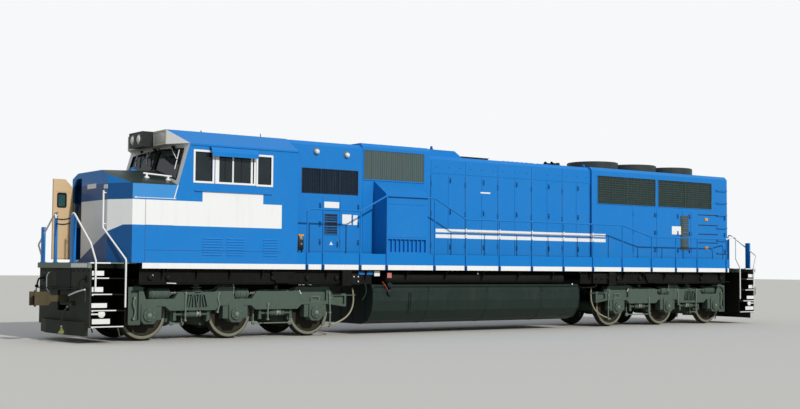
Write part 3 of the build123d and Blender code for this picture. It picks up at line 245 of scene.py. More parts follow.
def addNode(tree, kind, settings=None, **inputs):   # i0, i1 and so on name an input by its number
    node = tree.nodes.new(kind)
    for name, value in (settings or {}).items():
        setattr(node, name, value)
    for name, value in inputs.items():
        numbered = name[0] == "i" and name[1:].isdigit()
        feed(tree, node.inputs[int(name[1:]) if numbered else name], value)
    return node


def maths(tree, operation, *values):
    node = addNode(tree, "ShaderNodeMath", {"operation": operation})
    for socket, value in zip(node.inputs, values):
        feed(tree, socket, value)
    return node.outputs[0]


def mixColour(tree, share, first, second):
    return addNode(tree, "ShaderNodeMix", {"data_type": "RGBA"}, i0=share, i6=first, i7=second).outputs[2]


def blankMaterial(name):
    material = bpy.data.materials.new(name)
    material.use_nodes = True
    return material, material.node_tree, material.node_tree.nodes["Principled BSDF"]


def makeWeatherGroup():
    group, entry, leave = newGroup("weather", [
        ("Paint", "NodeSocketColor", (0.5, 0.5, 0.5, 1)),
        ("Dust", "NodeSocketColor", (0.3, 0.26, 0.2, 1)),
        ("Fade", "NodeSocketFloat", 0.15),
        ("Streaks", "NodeSocketFloat", 0.2),
        ("Low Dust", "NodeSocketFloat", 0.4),
        ("Dust Height", "NodeSocketFloat", 1.0),
        ("Gloss", "NodeSocketFloat", 0.35),
        ("Grain", "NodeSocketFloat", 60.0),
    ], [("Color", "NodeSocketColor"), ("Roughness", "NodeSocketFloat"), ("Height", "NodeSocketFloat")])
    place = addNode(group, "ShaderNodeTexCoord").outputs["Object"]
    fade = addNode(group, "ShaderNodeTexNoise", Vector=place, Scale=1.3, Detail=4.0)
    fine = addNode(group, "ShaderNodeTexNoise", Vector=place, Scale=9.0, Detail=5.0, Roughness=0.6)
    stretch = addNode(group, "ShaderNodeMapping", Vector=place, Scale=(7.0, 7.0, 0.45))
    streak = addNode(group, "ShaderNodeTexNoise", Vector=stretch.outputs[0], Scale=1.6, Detail=5.0)
    streakMask = addNode(group, "ShaderNodeMapRange", i0=streak.outputs[0], i1=0.52, i2=0.72)
    height = addNode(group, "ShaderNodeSeparateXYZ", Vector=place).outputs["Z"]
    low = addNode(group, "ShaderNodeMapRange", i0=height, i1=entry.outputs["Dust Height"], i2=0.0)
    dusty = maths(group, "MULTIPLY", low.outputs[0], fine.outputs[0])
    dusty = maths(group, "MULTIPLY", dusty, entry.outputs["Low Dust"])
    dusty = maths(group, "MULTIPLY", dusty, 2.0)
    streaky = maths(group, "MULTIPLY", streakMask.outputs[0], entry.outputs["Streaks"])
    cover = maths(group, "MAXIMUM", dusty, streaky)
    cover = maths(group, "MINIMUM", cover, 1.0)
    faded = mixColour(group, fade.outputs[0], entry.outputs["Paint"], (0.9, 0.9, 0.9, 1))
    share = maths(group, "MULTIPLY", entry.outputs["Fade"], fine.outputs[0])
    paint = mixColour(group, share, entry.outputs["Paint"], faded)
    colour = mixColour(group, cover, paint, entry.outputs["Dust"])
    group.links.new(colour, leave.inputs["Color"])
    rough = maths(group, "MULTIPLY_ADD", fine.outputs[0], 0.16, entry.outputs["Gloss"])
    rough = maths(group, "ADD", rough, -0.08)
    rough = maths(group, "MULTIPLY_ADD", cover, 0.35, rough)
    group.links.new(rough, leave.inputs["Roughness"])
    grain = addNode(group, "ShaderNodeTexNoise", Vector=place, Scale=entry.outputs["Grain"], Detail=3.0)
    group.links.new(grain.outputs[0], leave.inputs["Height"])
    return group


def makeAreaGroup():   # 1 inside a box of the model, given by its middle and half size
    group, entry, leave = newGroup("paintedArea", [
        ("Middle", "NodeSocketVector", (0, 0, 0)),
        ("Half", "NodeSocketVector", (1, 1, 1)),
    ], [("Mask", "NodeSocketFloat")])
    place = addNode(group, "ShaderNodeTexCoord").outputs["Object"]
    gap = addNode(group, "ShaderNodeVectorMath", {"operation": "SUBTRACT"}, i0=place,
                  i1=entry.outputs["Middle"])
    size = addNode(group, "ShaderNodeVectorMath", {"operation": "ABSOLUTE"}, i0=gap.outputs[0])
    away = addNode(group, "ShaderNodeSeparateXYZ", Vector=size.outputs[0])
    half = addNode(group, "ShaderNodeSeparateXYZ", Vector=entry.outputs["Half"])
    mask = None
    for axis in "XYZ":
        inside = maths(group, "LESS_THAN", away.outputs[axis], half.outputs[axis])
        mask = inside if mask is None else maths(group, "MULTIPLY", mask, inside)
    group.links.new(mask, leave.inputs["Mask"])
    return group


weather = makeWeatherGroup()
paintedArea = makeAreaGroup()


def areaMask(tree, low, high):
    node = addNode(tree, "ShaderNodeGroup", {"node_tree": paintedArea})
    node.inputs["Middle"].default_value = [(a + b) / 2 for a, b in zip(low, high)]
    node.inputs["Half"].default_value = [abs(b - a) / 2 for a, b in zip(low, high)]
    return node.outputs["Mask"]


def anyOf(tree, masks):
    total = masks[0]
    for mask in masks[1:]:
        total = maths(tree, "MAXIMUM", total, mask)
    return total


wornInputs = {   # the weather group's inputs: the look's key, and the value where a look has none
    "Fade": ("fade", 0.02), "Streaks": ("streaks", 0.1), "Low Dust": ("lowDust", 0.3),
    "Dust Height": ("dustHeight", 1.5), "Gloss": ("rough", 0.5), "Grain": ("grain", 40.0),
}


def newMaterial(name, look):
    material, tree, shader = blankMaterial(name)
    worn = addNode(tree, "ShaderNodeGroup", {"node_tree": weather})
    worn.inputs["Paint"].default_value = (*look["colour"], 1)
    worn.inputs["Dust"].default_value = (*look.get("dust", (0.33, 0.28, 0.21)), 1)
    for label, (key, usual) in wornInputs.items():
        worn.inputs[label].default_value = look.get(key, usual)
    tree.links.new(worn.outputs["Color"], shader.inputs["Base Color"])
    tree.links.new(worn.outputs["Roughness"], shader.inputs["Roughness"])
    shader.inputs["Metallic"].default_value = look.get("metal", 0.0)
    shader.inputs["Specular IOR Level"].default_value = look.get("spec", 0.3)
    bump = addNode(tree, "ShaderNodeBump", Height=worn.outputs["Height"], Strength=look.get("bump", 0.05),
                   Distance=look.get("relief", 0.004))
    tree.links.new(bump.outputs["Normal"], shader.inputs["Normal"])
    return material, tree, shader, worn


blueTone = (0.004, 0.190, 0.57)
# painted shade: a darker blue for the nose's front faces, which also stands for dirtier paint there
shadedFrontBlueTone = (0.003, 0.085, 0.27)
whiteTone = (0.82, 0.83, 0.82)
# painted highlight: the lighter blue of a bevel catching the sun
sunlitBevelBlueTone = (0.045, 0.27, 0.64)
oliveTone = (0.020, 0.034, 0.028)
slatTone = (0.050, 0.100, 0.105)
shutterTone = (0.024, 0.050, 0.046)
# painted shade: the near-black of the recess behind the cabinet screens
recessShadeTone = (0.003, 0.016, 0.036)
shroudTone = (0.032, 0.044, 0.038)

finishes = {
    "whitePaint": dict(colour=whiteTone, rough=0.38, streaks=0.05, lowDust=0.2, dustHeight=1.6),
    "plainBlue": dict(colour=blueTone, rough=0.35, streaks=0.05, spec=0.22),
    "creamPaint": dict(colour=(0.66, 0.47, 0.27), rough=0.45, streaks=0.08),
    "blackPaint": dict(colour=(0.006, 0.006, 0.005), rough=0.55, streaks=0.08, lowDust=0.15, spec=0.10,
                       dust=(0.06, 0.05, 0.035), dustHeight=1.3, bump=0.12),
    "tankPaint": dict(colour=(0.010, 0.022, 0.018), rough=0.45, streaks=0.25, lowDust=0.15, spec=0.16,
                      dust=(0.045, 0.052, 0.036), dustHeight=1.25, bump=0.1),
    "truckPaint": dict(colour=(0.078, 0.118, 0.094), rough=0.62, streaks=0.35, lowDust=0.55, spec=0.2,
                       dust=(0.034, 0.036, 0.026), dustHeight=1.2, grain=55.0, bump=0.35, relief=0.006),
    "truckPale": dict(colour=(0.17, 0.23, 0.18), rough=0.55, streaks=0.3, lowDust=0.4,
                      dust=(0.10, 0.09, 0.06), bump=0.25),
    "rimSteel": dict(colour=(0.20, 0.21, 0.155), rough=0.55, metal=0.1, streaks=0.25, lowDust=0.2,
                     dust=(0.10, 0.08, 0.05), bump=0.2),
    "wheelSteel": dict(colour=(0.020, 0.021, 0.014), rough=0.62, metal=0.1, streaks=0.3, spec=0.2,
                       lowDust=0.4, dust=(0.040, 0.030, 0.018), dustHeight=1.2, bump=0.3),
    "bareSteel": dict(colour=(0.42, 0.42, 0.40), rough=0.34, metal=0.8, streaks=0.2, bump=0.1),
    "rustIron": dict(colour=(0.085, 0.080, 0.042), rough=0.72, metal=0.1, streaks=0.2, spec=0.2,
                     dust=(0.16, 0.065, 0.030), bump=0.4, relief=0.006),
    "slatGrey": dict(colour=(0.085, 0.145, 0.155), rough=0.55, metal=0.1, streaks=0.45,
                     dust=(0.10, 0.060, 0.030)),
    "screenGrey": dict(colour=(0.065, 0.100, 0.092), rough=0.6, streaks=0.45, dust=(0.075, 0.045, 0.022)),
    "meshDark": dict(colour=(0.006, 0.020, 0.045), rough=0.6, streaks=0.1),
    "rubber": dict(colour=(0.010, 0.010, 0.011), rough=0.7, bump=0.15, grain=120.0, spec=0.2,
                   dust=(0.030, 0.030, 0.026), lowDust=0.15),
    "beigeHose": dict(colour=(0.33, 0.31, 0.22), rough=0.6, streaks=0.2),
    "brassFitting": dict(colour=(0.26, 0.27, 0.075), rough=0.42, metal=0.5, streaks=0.35,
                         dust=(0.10, 0.085, 0.04), bump=0.2),
    "galvanised": dict(colour=(0.20, 0.235, 0.22), rough=0.5, metal=0.4, streaks=0.25),
    "fanIron": dict(colour=(0.045, 0.055, 0.050), rough=0.55, metal=0.2, streaks=0.3),
    "engineIron": dict(colour=(0.10, 0.10, 0.10), rough=0.7, bump=0.3),
    "sootIron": dict(colour=(0.030, 0.030, 0.028), rough=0.75, metal=0.2, bump=0.3),
    "seatCloth": dict(colour=(0.035, 0.037, 0.05), rough=0.9, bump=0.5, grain=420.0, streaks=0.0),
    "cabLining": dict(colour=(0.20, 0.22, 0.19), rough=0.6),
    "signalRed": dict(colour=(0.50, 0.04, 0.03), rough=0.45),
    "fadedPink": dict(colour=(0.52, 0.18, 0.16), rough=0.55),
    "lampGlass": dict(colour=(0.75, 0.76, 0.72), rough=0.12, streaks=0.05, spec=0.5),
    "boardFace": dict(colour=(0.60, 0.60, 0.54), rough=0.25, streaks=0.05, spec=0.5),
    "hoodDark": dict(colour=(0.008, 0.014, 0.026), rough=0.45, streaks=0.1),
    "ventOlive": dict(colour=(0.085, 0.080, 0.028), rough=0.55, streaks=0.3, dust=(0.04, 0.03, 0.012)),
    "amberGlass": dict(colour=(0.70, 0.34, 0.05), rough=0.2, streaks=0.05, spec=0.5),
}
materials = {name: newMaterial(name, look)[0] for name, look in finishes.items()}


def normalPart(tree, axis):
    normal = addNode(tree, "ShaderNodeNewGeometry").outputs["Normal"]
    return addNode(tree, "ShaderNodeSeparateXYZ", Vector=normal).outputs[axis]


def zoneMask(tree, zone):   # the union of a zone's boxes, on faces that look the way it names
    boxes = []
    for x0, x1, y0, y1, z0, z1 in zone["boxes"]:
        boxes.append(((x0, y0, rail + z0), (x1, y1, rail + z1)))
        if zone.get("bothSides"):
            boxes.append(((x0, -y1, rail + z0), (x1, -y0, rail + z1)))
    mask = anyOf(tree, [areaMask(tree, low, high) for low, high in boxes])
    if "facing" in zone:
        axis, least = zone["facing"]
        mask = maths(tree, "MULTIPLY", mask, maths(tree, "GREATER_THAN", normalPart(tree, axis), least))
    if zone.get("upright"):
        upright = maths(tree, "LESS_THAN", maths(tree, "ABSOLUTE", normalPart(tree, "Z")), 0.5)
        mask = maths(tree, "MULTIPLY", mask, upright)
    return mask


def zonedPaint(name, look, zones, masks=()):   # one finish whose colour changes from area to area
    material, tree, _, worn = newMaterial(name, look)
    colour = (*look["colour"], 1)
    for zone in zones:
        colour = mixColour(tree, zoneMask(tree, zone), colour, (*zone["colour"], 1))
    for makeMask, tone in masks:
        colour = mixColour(tree, makeMask(tree), colour, (*tone, 1))
    tree.links.new(colour, worn.inputs["Paint"])
    return material


noseBand = dict(low=2.43, high=2.96, start=9.74, end=10.8, half=1.7, doorMiddle=-0.70, cornerY=1.35,
                slope=0.394, farSlope=1.18)


def frontBandMask(tree):   # on the nose front the band's lower edge runs down to the door
    place = addNode(tree, "ShaderNodeTexCoord").outputs["Object"]
    parts = addNode(tree, "ShaderNodeSeparateXYZ", Vector=place)
    middle, corner, low = noseBand["doorMiddle"], noseBand["cornerY"], rail + noseBand["low"]
    slope, farSlope, half = noseBand["slope"], noseBand["farSlope"], noseBand["half"]
    across = maths(tree, "SUBTRACT", parts.outputs["Y"], middle)
    near = maths(tree, "MULTIPLY_ADD", across, slope, low - (corner - middle) * slope)
    far = maths(tree, "MULTIPLY_ADD", across, -farSlope, low - (corner + middle) * farSlope)
    edge = maths(tree, "MINIMUM", maths(tree, "MAXIMUM", near, far), low)
    above = maths(tree, "GREATER_THAN", parts.outputs["Z"], edge)
    area = areaMask(tree, (noseBand["start"], -half, deckTop),
                    (noseBand["end"], half, rail + noseBand["high"]))
    return maths(tree, "MULTIPLY", above, area)


blueZones = [
    # X low, X high, Y low, Y high, Z low, Z high above the rail
    # painted highlight: a lighter blue band on the nose sides under the cab windows, standing in for a sunlit
    # bevel
    dict(colour=sunlitBevelBlueTone, boxes=[(8.75, 9.76, 1.0, 1.7, 2.98, 3.292)], bothSides=True, upright=True),
    dict(colour=whiteTone, bothSides=True, boxes=[
        (6.17, 9.80, 0.9, 1.7, 2.43, 2.96), (6.65, 8.14, 0.9, 1.7, 2.95, 3.18),
        (-4.60, 1.38, 0.9, 1.7, 2.479, 2.567), (-4.60, 1.38, 0.9, 1.7, 2.336, 2.429)]),
    dict(colour=whiteTone, boxes=[(8.42, 8.83, -1.56, 1.56, 3.0, 4.25)], facing=("X", 0.5)),
    dict(colour=oliveTone, boxes=[(8.4, 10.1, -1.7, 1.7, 3.27, 3.9)], facing=("Z", 0.3)),
    dict(colour=slatTone, boxes=[(1.765, 3.575, -0.9985, 0.9985, 3.70, 4.35)]),
    dict(colour=shutterTone, boxes=[(-6.645, -4.285, -1.075, 1.075, 3.415, 4.195),
                                    (-9.125, -6.765, -1.075, 1.075, 3.415, 4.195)]),
    # painted shade: the recess behind the cabinet screens, in shade under the intake box, painted near-black
    dict(colour=recessShadeTone, boxes=[(3.745, 5.315, -1.02, 1.02, 3.31, 3.885)]),
    dict(colour=shroudTone, boxes=[(-9.20, -4.30, -0.80, 0.80, 4.437, 4.665)]),
    # painted shade on the nose's front-facing faces, together with dirtier paint there
    dict(colour=shadedFrontBlueTone, boxes=[(9.5, 10.3, -1.6, 1.6, 1.6, 3.30)], facing=("X", 0.5)),
]


def makeBluePaint():
    look = dict(colour=blueTone, rough=0.32, streaks=0.05, fade=0.03, spec=0.22, lowDust=0.10, dustHeight=2.2,
                dust=(0.06, 0.11, 0.22), bump=0.02)
    return zonedPaint("bluePaint", look, blueZones, [(frontBandMask, whiteTone)])


frameZones = [
    dict(colour=whiteTone, boxes=[(-9.4, 9.56, 1.545, 1.7, 1.521, 1.6375)], bothSides=True, upright=True),
    dict(colour=blueTone, boxes=[(-9.4, 6.18, 1.545, 1.7, 1.6375, 1.91)], bothSides=True, upright=True),
    dict(colour=(0.20, 0.24, 0.20), upright=True,
         boxes=[(9.6, 10.7, -1.7, 1.7, 1.521, 1.6375), (-10.7, -9.6, -1.7, 1.7, 1.521, 1.6375)]),
    dict(colour=(0.034, 0.040, 0.029), upright=True,
         boxes=[(10.5, 10.75, -1.7, 1.7, 0.1, 1.521), (-10.75, -10.5, -1.7, 1.7, 0.1, 1.521)]),
]


def makeFramePaint():
    look = dict(colour=(0.004, 0.004, 0.003), rough=0.6, streaks=0.05, lowDust=0.06, spec=0.08,
                dust=(0.05, 0.042, 0.03), dustHeight=1.3, bump=0.08)
    return zonedPaint("framePaint", look, frameZones)


frontZones = [
    dict(colour=(0.02, 0.02, 0.022), boxes=[(8.3, 8.9, -0.045, 0.045, 3.68, 4.25)]),
    dict(colour=blueTone, boxes=[(8.3, 8.9, -1.6, 1.6, 1.6, 2.9)]),
]
visorZones = [
    dict(colour=(0.62, 0.58, 0.42), boxes=[(8.74, 8.7725, -1.02, 1.02, 4.19, 4.54)], facing=("X", 0.5)),
    dict(colour=(0.012, 0.013, 0.015), boxes=[(8.773, 9.1, -0.4, 0.4, 4.1, 4.6)]),
    dict(colour=(0.012, 0.013, 0.015), boxes=[(8.74, 9.1, -0.362, 0.362, 4.1, 4.6)]),
    dict(colour=blueTone, boxes=[(8.3, 8.9, -1.6, 1.6, 4.2, 4.6)], facing=("Z", 0.3)),
]


def makeGlass(name, tint, alpha):
    material, tree, shader = blankMaterial(name)
    place = addNode(tree, "ShaderNodeTexCoord").outputs["Object"]
    dirt = addNode(tree, "ShaderNodeTexNoise", Vector=place, Scale=3.0, Detail=5.0)
    colour = mixColour(tree, maths(tree, "MULTIPLY", dirt.outputs[0], 0.5), (*tint, 1), (0.05, 0.06, 0.06, 1))
    tree.links.new(colour, shader.inputs["Base Color"])
    rough = maths(tree, "MULTIPLY_ADD", dirt.outputs[0], 0.08, 0.02)
    tree.links.new(rough, shader.inputs["Roughness"])
    shader.inputs["Alpha"].default_value = alpha
    shader.inputs["IOR"].default_value = 1.5
    return material


materials["bluePaint"] = makeBluePaint()
materials["framePaint"] = makeFramePaint()
for name, rough, streaks, zones in (("cabFrontPaint", 0.38, 0.07, frontZones),
                                    ("visorPaint", 0.40, 0.10, visorZones)):
    materials[name] = zonedPaint(name, dict(colour=whiteTone, rough=rough, streaks=streaks), zones)
materials["cabGlass"] = makeGlass("cabGlass", (0.008, 0.016, 0.020), 0.86)
materials["tealGlass"] = makeGlass("tealGlass", (0.02, 0.10, 0.11), 0.92)

nodeFinish = {
    "underframe": "framePaint", "front_pilot": "framePaint", "rear_pilot": "framePaint",
    "front_coupler": "rustIron", "rear_coupler": "rustIron", "fuel_tank": "tankPaint",
    "air_reservoirs": "blackPaint", "nose_door": "creamPaint", "cab_front": "cabFrontPaint",
    "headlight_housing": "visorPaint", "cab_glass": "cabGlass", "cab_seats": "seatCloth",
    "cab_floor": "cabLining", "front_fan": "fanIron", "middle_fan": "fanIron",
    "rear_fan": "fanIron", "fan_guards": "fanIron", "front_brake_hose": "rubber",
    "front_hose_coupling": "brassFitting", "engine_block": "engineIron",
    "exhaust_stack": "sootIron", "horn": "sootIron", "front_handrails": "whitePaint",
    "rear_handrails": "whitePaint", "front_truck_frame": "truckPaint",
    "rear_truck_frame": "truckPaint", "front_motors": "truckPaint", "rear_motors": "truckPaint",
}
for name, node in nodes.items():
    finish = nodeFinish.get(name, "wheelSteel" if "wheelset" in name else "bluePaint")
    node.data.materials.clear()
    node.data.materials.append(materials[finish])
print("finishes done")

# Camera, light and floor

view = dict(place=(19.954, 24.974, 1.532 + rail), towards=(-0.5880, -0.8071, 0.0539), roll=0.39,
            lens=54.29, sensor=36.0, reach=400.0)


def makeCamera():
    data = bpy.data.cameras.new("camera")
    data.sensor_width = view["sensor"]
    data.sensor_fit = "HORIZONTAL"
    data.lens = view["lens"]
    data.clip_end = view["reach"]
    camera = bpy.data.objects.new("camera", data)
    bpy.context.scene.collection.objects.link(camera)
    camera.location = view["place"]
    camera.rotation_mode = "QUATERNION"
    aim = Vector(view["towards"]).to_track_quat("-Z", "Y")
    camera.rotation_quaternion = aim @ Quaternion((0, 0, 1), math.radians(view["roll"]))
    bpy.context.scene.camera = camera


light = dict(strength=2.62, spread=1.6, height=29.0, swing=4.0, colour=(1.0, 0.975, 0.94),
             sky=0.52, skyColour=(0.86, 0.93, 1.0, 1), backdrop=(0.93, 0.94, 0.95, 1))
floorLook = dict(size=400, drop=0.001, seen=(0.62, 0.60, 0.56, 1), bounced=(0.36, 0.34, 0.30, 1), rough=0.9)


def seenDirectly(tree, mirrored):   # 1 for what the camera sees itself, through glass or in a reflection
    path = addNode(tree, "ShaderNodeLightPath").outputs
    seen = maths(tree, "MAXIMUM", path["Is Camera Ray"], path["Is Transmission Ray"])
    return maths(tree, "MAXIMUM", seen, path["Is Glossy Ray"]) if mirrored else seen


def makeLight():
    data = bpy.data.lights.new("sun", "SUN")
    data.energy = light["strength"]
    data.angle = math.radians(light["spread"])
    data.color = light["colour"]
    sun = bpy.data.objects.new("sun", data)
    bpy.context.scene.collection.objects.link(sun)
    tilt, swing = math.radians(light["height"]), math.radians(light["swing"])
    towards = Vector((math.sin(swing) * math.cos(tilt), -math.cos(swing) * math.cos(tilt), -math.sin(tilt)))
    sun.rotation_mode = "QUATERNION"
    sun.rotation_quaternion = towards.to_track_quat("-Z", "Y")
    world = bpy.data.worlds.new("sky")
    bpy.context.scene.world = world
    world.use_nodes = True
    tree = world.node_tree
    tree.nodes.clear()
    ambient = addNode(tree, "ShaderNodeBackground", Color=light["skyColour"], Strength=light["sky"])
    backdrop = addNode(tree, "ShaderNodeBackground", Color=light["backdrop"], Strength=1.0)
    blend = addNode(tree, "ShaderNodeMixShader", Fac=seenDirectly(tree, False), i1=ambient.outputs[0],
                    i2=backdrop.outputs[0])
    addNode(tree, "ShaderNodeOutputWorld", Surface=blend.outputs[0])


def makeFloor():
    clearPick()
    bpy.ops.mesh.primitive_plane_add(size=floorLook["size"], location=(0, 0, -floorLook["drop"]))
    floor = bpy.context.object
    floor.name = "floor"
    material, tree, shader = blankMaterial("floorPaint")
    colour = mixColour(tree, seenDirectly(tree, True), floorLook["bounced"], floorLook["seen"])
    tree.links.new(colour, shader.inputs["Base Color"])
    shader.inputs["Roughness"].default_value = floorLook["rough"]
    shader.inputs["Specular IOR Level"].default_value = 0.1
    floor.data.materials.append(material)


makeCamera()

# Front brake hose

brakeHose = dict(radius=0.023, length=0.509, bandHalf=0.007, bandProud=0.003, route=[
    (10.697, 0.620, 0.7678), (10.7639, 0.620, 0.7076), (10.8238, 0.623, 0.6153),
    (10.8578, 0.631, 0.5107), (10.8655, 0.641, 0.4010), (10.8592, 0.646, 0.3112)])


def makeBrakeHose():
    route, radius = brakeHose["route"], brakeHose["radius"]
    hose = newCurve("brakeHose", route, radius, 5, 10)
    hose.data.materials.append(materials["rubber"])
    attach(hose, "main_body")
    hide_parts("front_brake_hose")
    bands = []
    for start, after, shares in ((0, 1, (0.35, 0.65)), (-1, -2, (0.22, 0.45))):
        first, second = Vector(route[start]), Vector(route[after])
        reach = (second - first).normalized() * brakeHose["bandHalf"]
        for share in shares:
            middle = first.lerp(second, share)
            bands.append(rod(middle - reach, middle + reach, radius + brakeHose["bandProud"], 24))
    fit("hoseBands", bands, "bareSteel")


makeBrakeHose()
print("camera and hose done")

# Cab

cabTrim = dict(frameWidth=0.045, frameStand=0.014, frameOver=0.03,
               windows=[(7.90, 8.34, 3.39, 4.05), (6.88, 7.82, 3.39, 4.00), (6.44, 6.81, 3.38, 4.03)],
               bars=[(7.752, 7.824), (7.396, 7.433), (6.924, 6.974)], barLow=3.40, barHigh=3.99,
               rubberIn=0.018, rubber=0.008, tracks=(3.402, 3.985), trackEnds=(6.89, 7.81),
               paneEdges=(7.60, 7.20), windshieldRubber=0.017,
               windshield=[(0.055, 3.715), (1.365, 3.425), (1.325, 4.105), (0.055, 4.165)])


def windshieldX(z):   # the sloping cab front at a height above the rail
    return 8.8 - 0.2893 * (z - 3.0)


def onWindshield(y, z, out=0.006):
    return (windshieldX(z) + out, y, rail + z + out * 0.289)


def ringPipe(corners, radius, ease=0.06):   # a closed pipe with eased corners
    points = []
    for index, corner in enumerate(corners):
        here = Vector(corner)
        for other in (corners[index - 1], corners[(index + 1) % len(corners)]):
            away = Vector(other) - here
            points.append(here + away.normalized() * min(ease, away.length * 0.45))
        points.insert(-1, here)
    return meshed(newCurve("ring", points, radius, 1, 3, closed=True))


def makeWindowFrames():
    over = cabTrim["frameOver"]
    rings = []
    for x0, x1, z0, z1 in cabTrim["windows"]:
        rings.append(windowRing((x0 - over, cabSide - 0.012, rail + z0 - over),
                                (x1 + over, cabSide + cabTrim["frameStand"], rail + z1 + over),
                                cabTrim["frameWidth"]))
    for x0, x1 in cabTrim["bars"]:
        rings.append(slab((x0, cabSide - 0.014, rail + cabTrim["barLow"]),
                          (x1, cabSide + 0.008, rail + cabTrim["barHigh"])))
    # The moulding over the band and the white edge where the cab front meets the nose
    rings.append(slab((8.76, cabSide, rail + 2.990), (9.66, cabSide + 0.010, rail + 3.004), 0.003))
    rings.append(slab((9.655, cabSide, rail + 2.982), (9.70, cabSide + 0.02, rail + 3.012), 0.004))
    edge = slab((-0.011, cabSide, -0.155), (0.011, cabSide + 0.006, 0.155), 0.003)
    edge.rotation_euler = (0, -0.281, 0)
    edge.location = (8.762, 0, rail + 3.145)
    rings.append(applyPlace(edge))
    fit("cabWindowFrames", rings, "whitePaint", sides=True)


def makeWindowRubber():
    parts = []
    inset, y = cabTrim["rubberIn"], cabSide - 0.004
    for x0, x1, z0, z1 in cabTrim["windows"]:
        left, right, low, high = x0 + inset, x1 - inset, rail + z0 + inset, rail + z1 - inset
        parts.append(ringPipe([(left, y, low), (right, y, low), (right, y, high), (left, y, high)],
                              cabTrim["rubber"], 0.04))
    # Two thin rails that the middle panes slide in, and the panes' edges
    start, end = cabTrim["trackEnds"]
    low, high = cabTrim["tracks"]
    for z in (low, high):
        parts.append(slab((start, cabSide - 0.034, rail + z - 0.008), (end, y, rail + z + 0.008), 0.002))
    for x in cabTrim["paneEdges"]:
        parts.append(slab((x - 0.008, cabSide - 0.03, rail + 3.40),
                          (x + 0.008, cabSide - 0.008, rail + high), 0.002))
    corners = [onWindshield(y, z, 0.004) for y, z in cabTrim["windshield"]]
    parts.append(ringPipe(corners, cabTrim["windshieldRubber"], 0.07))
    fit("cabWindowRubber", parts, "rubber", sides=True)


wiperArms = [
    # motor (Y, Z), blade top (Y, Z), blade foot (Y, Z)
    ((-0.89, 4.200), (-1.05, 4.110), (-0.93, 3.840)),
    ((-0.16, 4.185), (-0.50, 4.150), (-0.32, 3.830)),
    ((0.80, 4.150), (1.20, 4.070), (1.25, 3.640)),
]


def makeWipers():
    white, black = [], []
    for motor, top, foot in wiperArms:
        black.append(slab(*[onWindshield(motor[0] + dy, motor[1] + dz, out) for dy, dz, out in
                            ((-0.045, -0.035, 0.0), (0.045, 0.035, 0.055))], 0.012, 2))
        black.append(rod(onWindshield(*motor, 0.05), onWindshield(*motor, 0.075), 0.018))
        middle = [(a + b) / 2 for a, b in zip(top, foot)]
        elbow = [(a + b) / 2 for a, b in zip(motor, middle)]
        white.append(bentPipe([onWindshield(*motor, 0.068), onWindshield(*elbow, 0.072),
                               onWindshield(*middle, 0.05)], 0.009))
        white.append(rod(onWindshield(*top, 0.046), onWindshield(*foot, 0.046), 0.010))
        black.append(rod(onWindshield(*top, 0.032), onWindshield(*foot, 0.032), 0.008))
        black.append(rod(onWindshield(*middle, 0.03), onWindshield(*middle, 0.06), 0.012))
    white.append(bentPipe([onWindshield(-1.36, 3.78, 0.012), onWindshield(-0.06, 3.675, 0.012)], 0.012))
    fit("wiperArms", white, "whitePaint")
    fit("wiperMotors", black, "rubber")


noseFittings = dict(grabPosts=[(9.20, 1.02), (8.74, 1.10)], grabHeight=0.085, grabOver=0.16, grab=0.019,
                    grabFoot=[(0, 0.060), (0.02, 0.058), (0.045, 0.026), (0.09, 0.020)],
                    roofBox=((9.10, 0.12), (9.24, 0.28)), roofBoxTop=3.705,
                    topMarks=[((-0.11, 3.225), (0.38, 3.325)), ((0.80, 3.19), (1.0, 3.28))],
                    button=(9.30, -0.19, 3.63),
                    buttonShape=[(0, 0.05), (0.03, 0.048), (0.05, 0.03), (0.055, 0.002)])


def noseTop(x, y):   # height of the nose's upper bevel above the rail
    ridge = 3.60 + 0.08 * (10.06 - x) / 1.45
    half = 0.20 + 0.57 * (x - 8.6) / 1.46
    if abs(y) <= half:
        return ridge
    return ridge - (ridge - 3.29) * (abs(y) - half) / (1.55 - half)


def makeNoseFittings():
    feet, bar = [], []
    for x, y in noseFittings["grabPosts"]:
        z = rail + noseTop(x, y)
        feet.append(lathe(noseFittings["grabFoot"], (x, y, z - 0.012), (0, 0, 1), 16))
        bar.append(Vector((x, y, z + noseFittings["grabHeight"])))
    over = (bar[0] - bar[1]) * noseFittings["grabOver"]
    feet.append(rod(bar[0] + over, bar[1] - over, noseFittings["grab"]))
    fit("noseGrabRail", feet, "whitePaint")
    (x0, y0), (x1, y1) = noseFittings["roofBox"]
    top = rail + noseFittings["roofBoxTop"]
    box = [slab((x0, y0, rail + noseTop(x0, y1) - 0.05), (x1, y1, top), 0.02, 3),
           slab((x0 + 0.03, y0 + 0.03, top - 0.005), (x1 - 0.03, y1 - 0.03, top + 0.02), 0.01, 2)]
    fit("noseRoofBox", box, "bluePaint")
    marks = [slab((10.061, y0, rail + z0), (10.066, y1, rail + z1), 0.002)
             for (y0, z0), (y1, z1) in noseFittings["topMarks"]]
    x, y, z = noseFittings["button"]
    marks.append(lathe(noseFittings["buttonShape"], (x, y, rail + z), (0, 0, 1), 16))
    fit("noseMarks", marks, "whitePaint")


numberBoards = [
    # X of the face, the way it looks, thickness, Y low, Y high, Z low, Z high, screws from the edges
    (8.764, 1, 0.012, 0.415, 0.945, 4.262, 4.478, 0.013),
    (-9.922, -1, 0.014, 0.46, 0.92, 3.975, 4.185, 0.015),
]


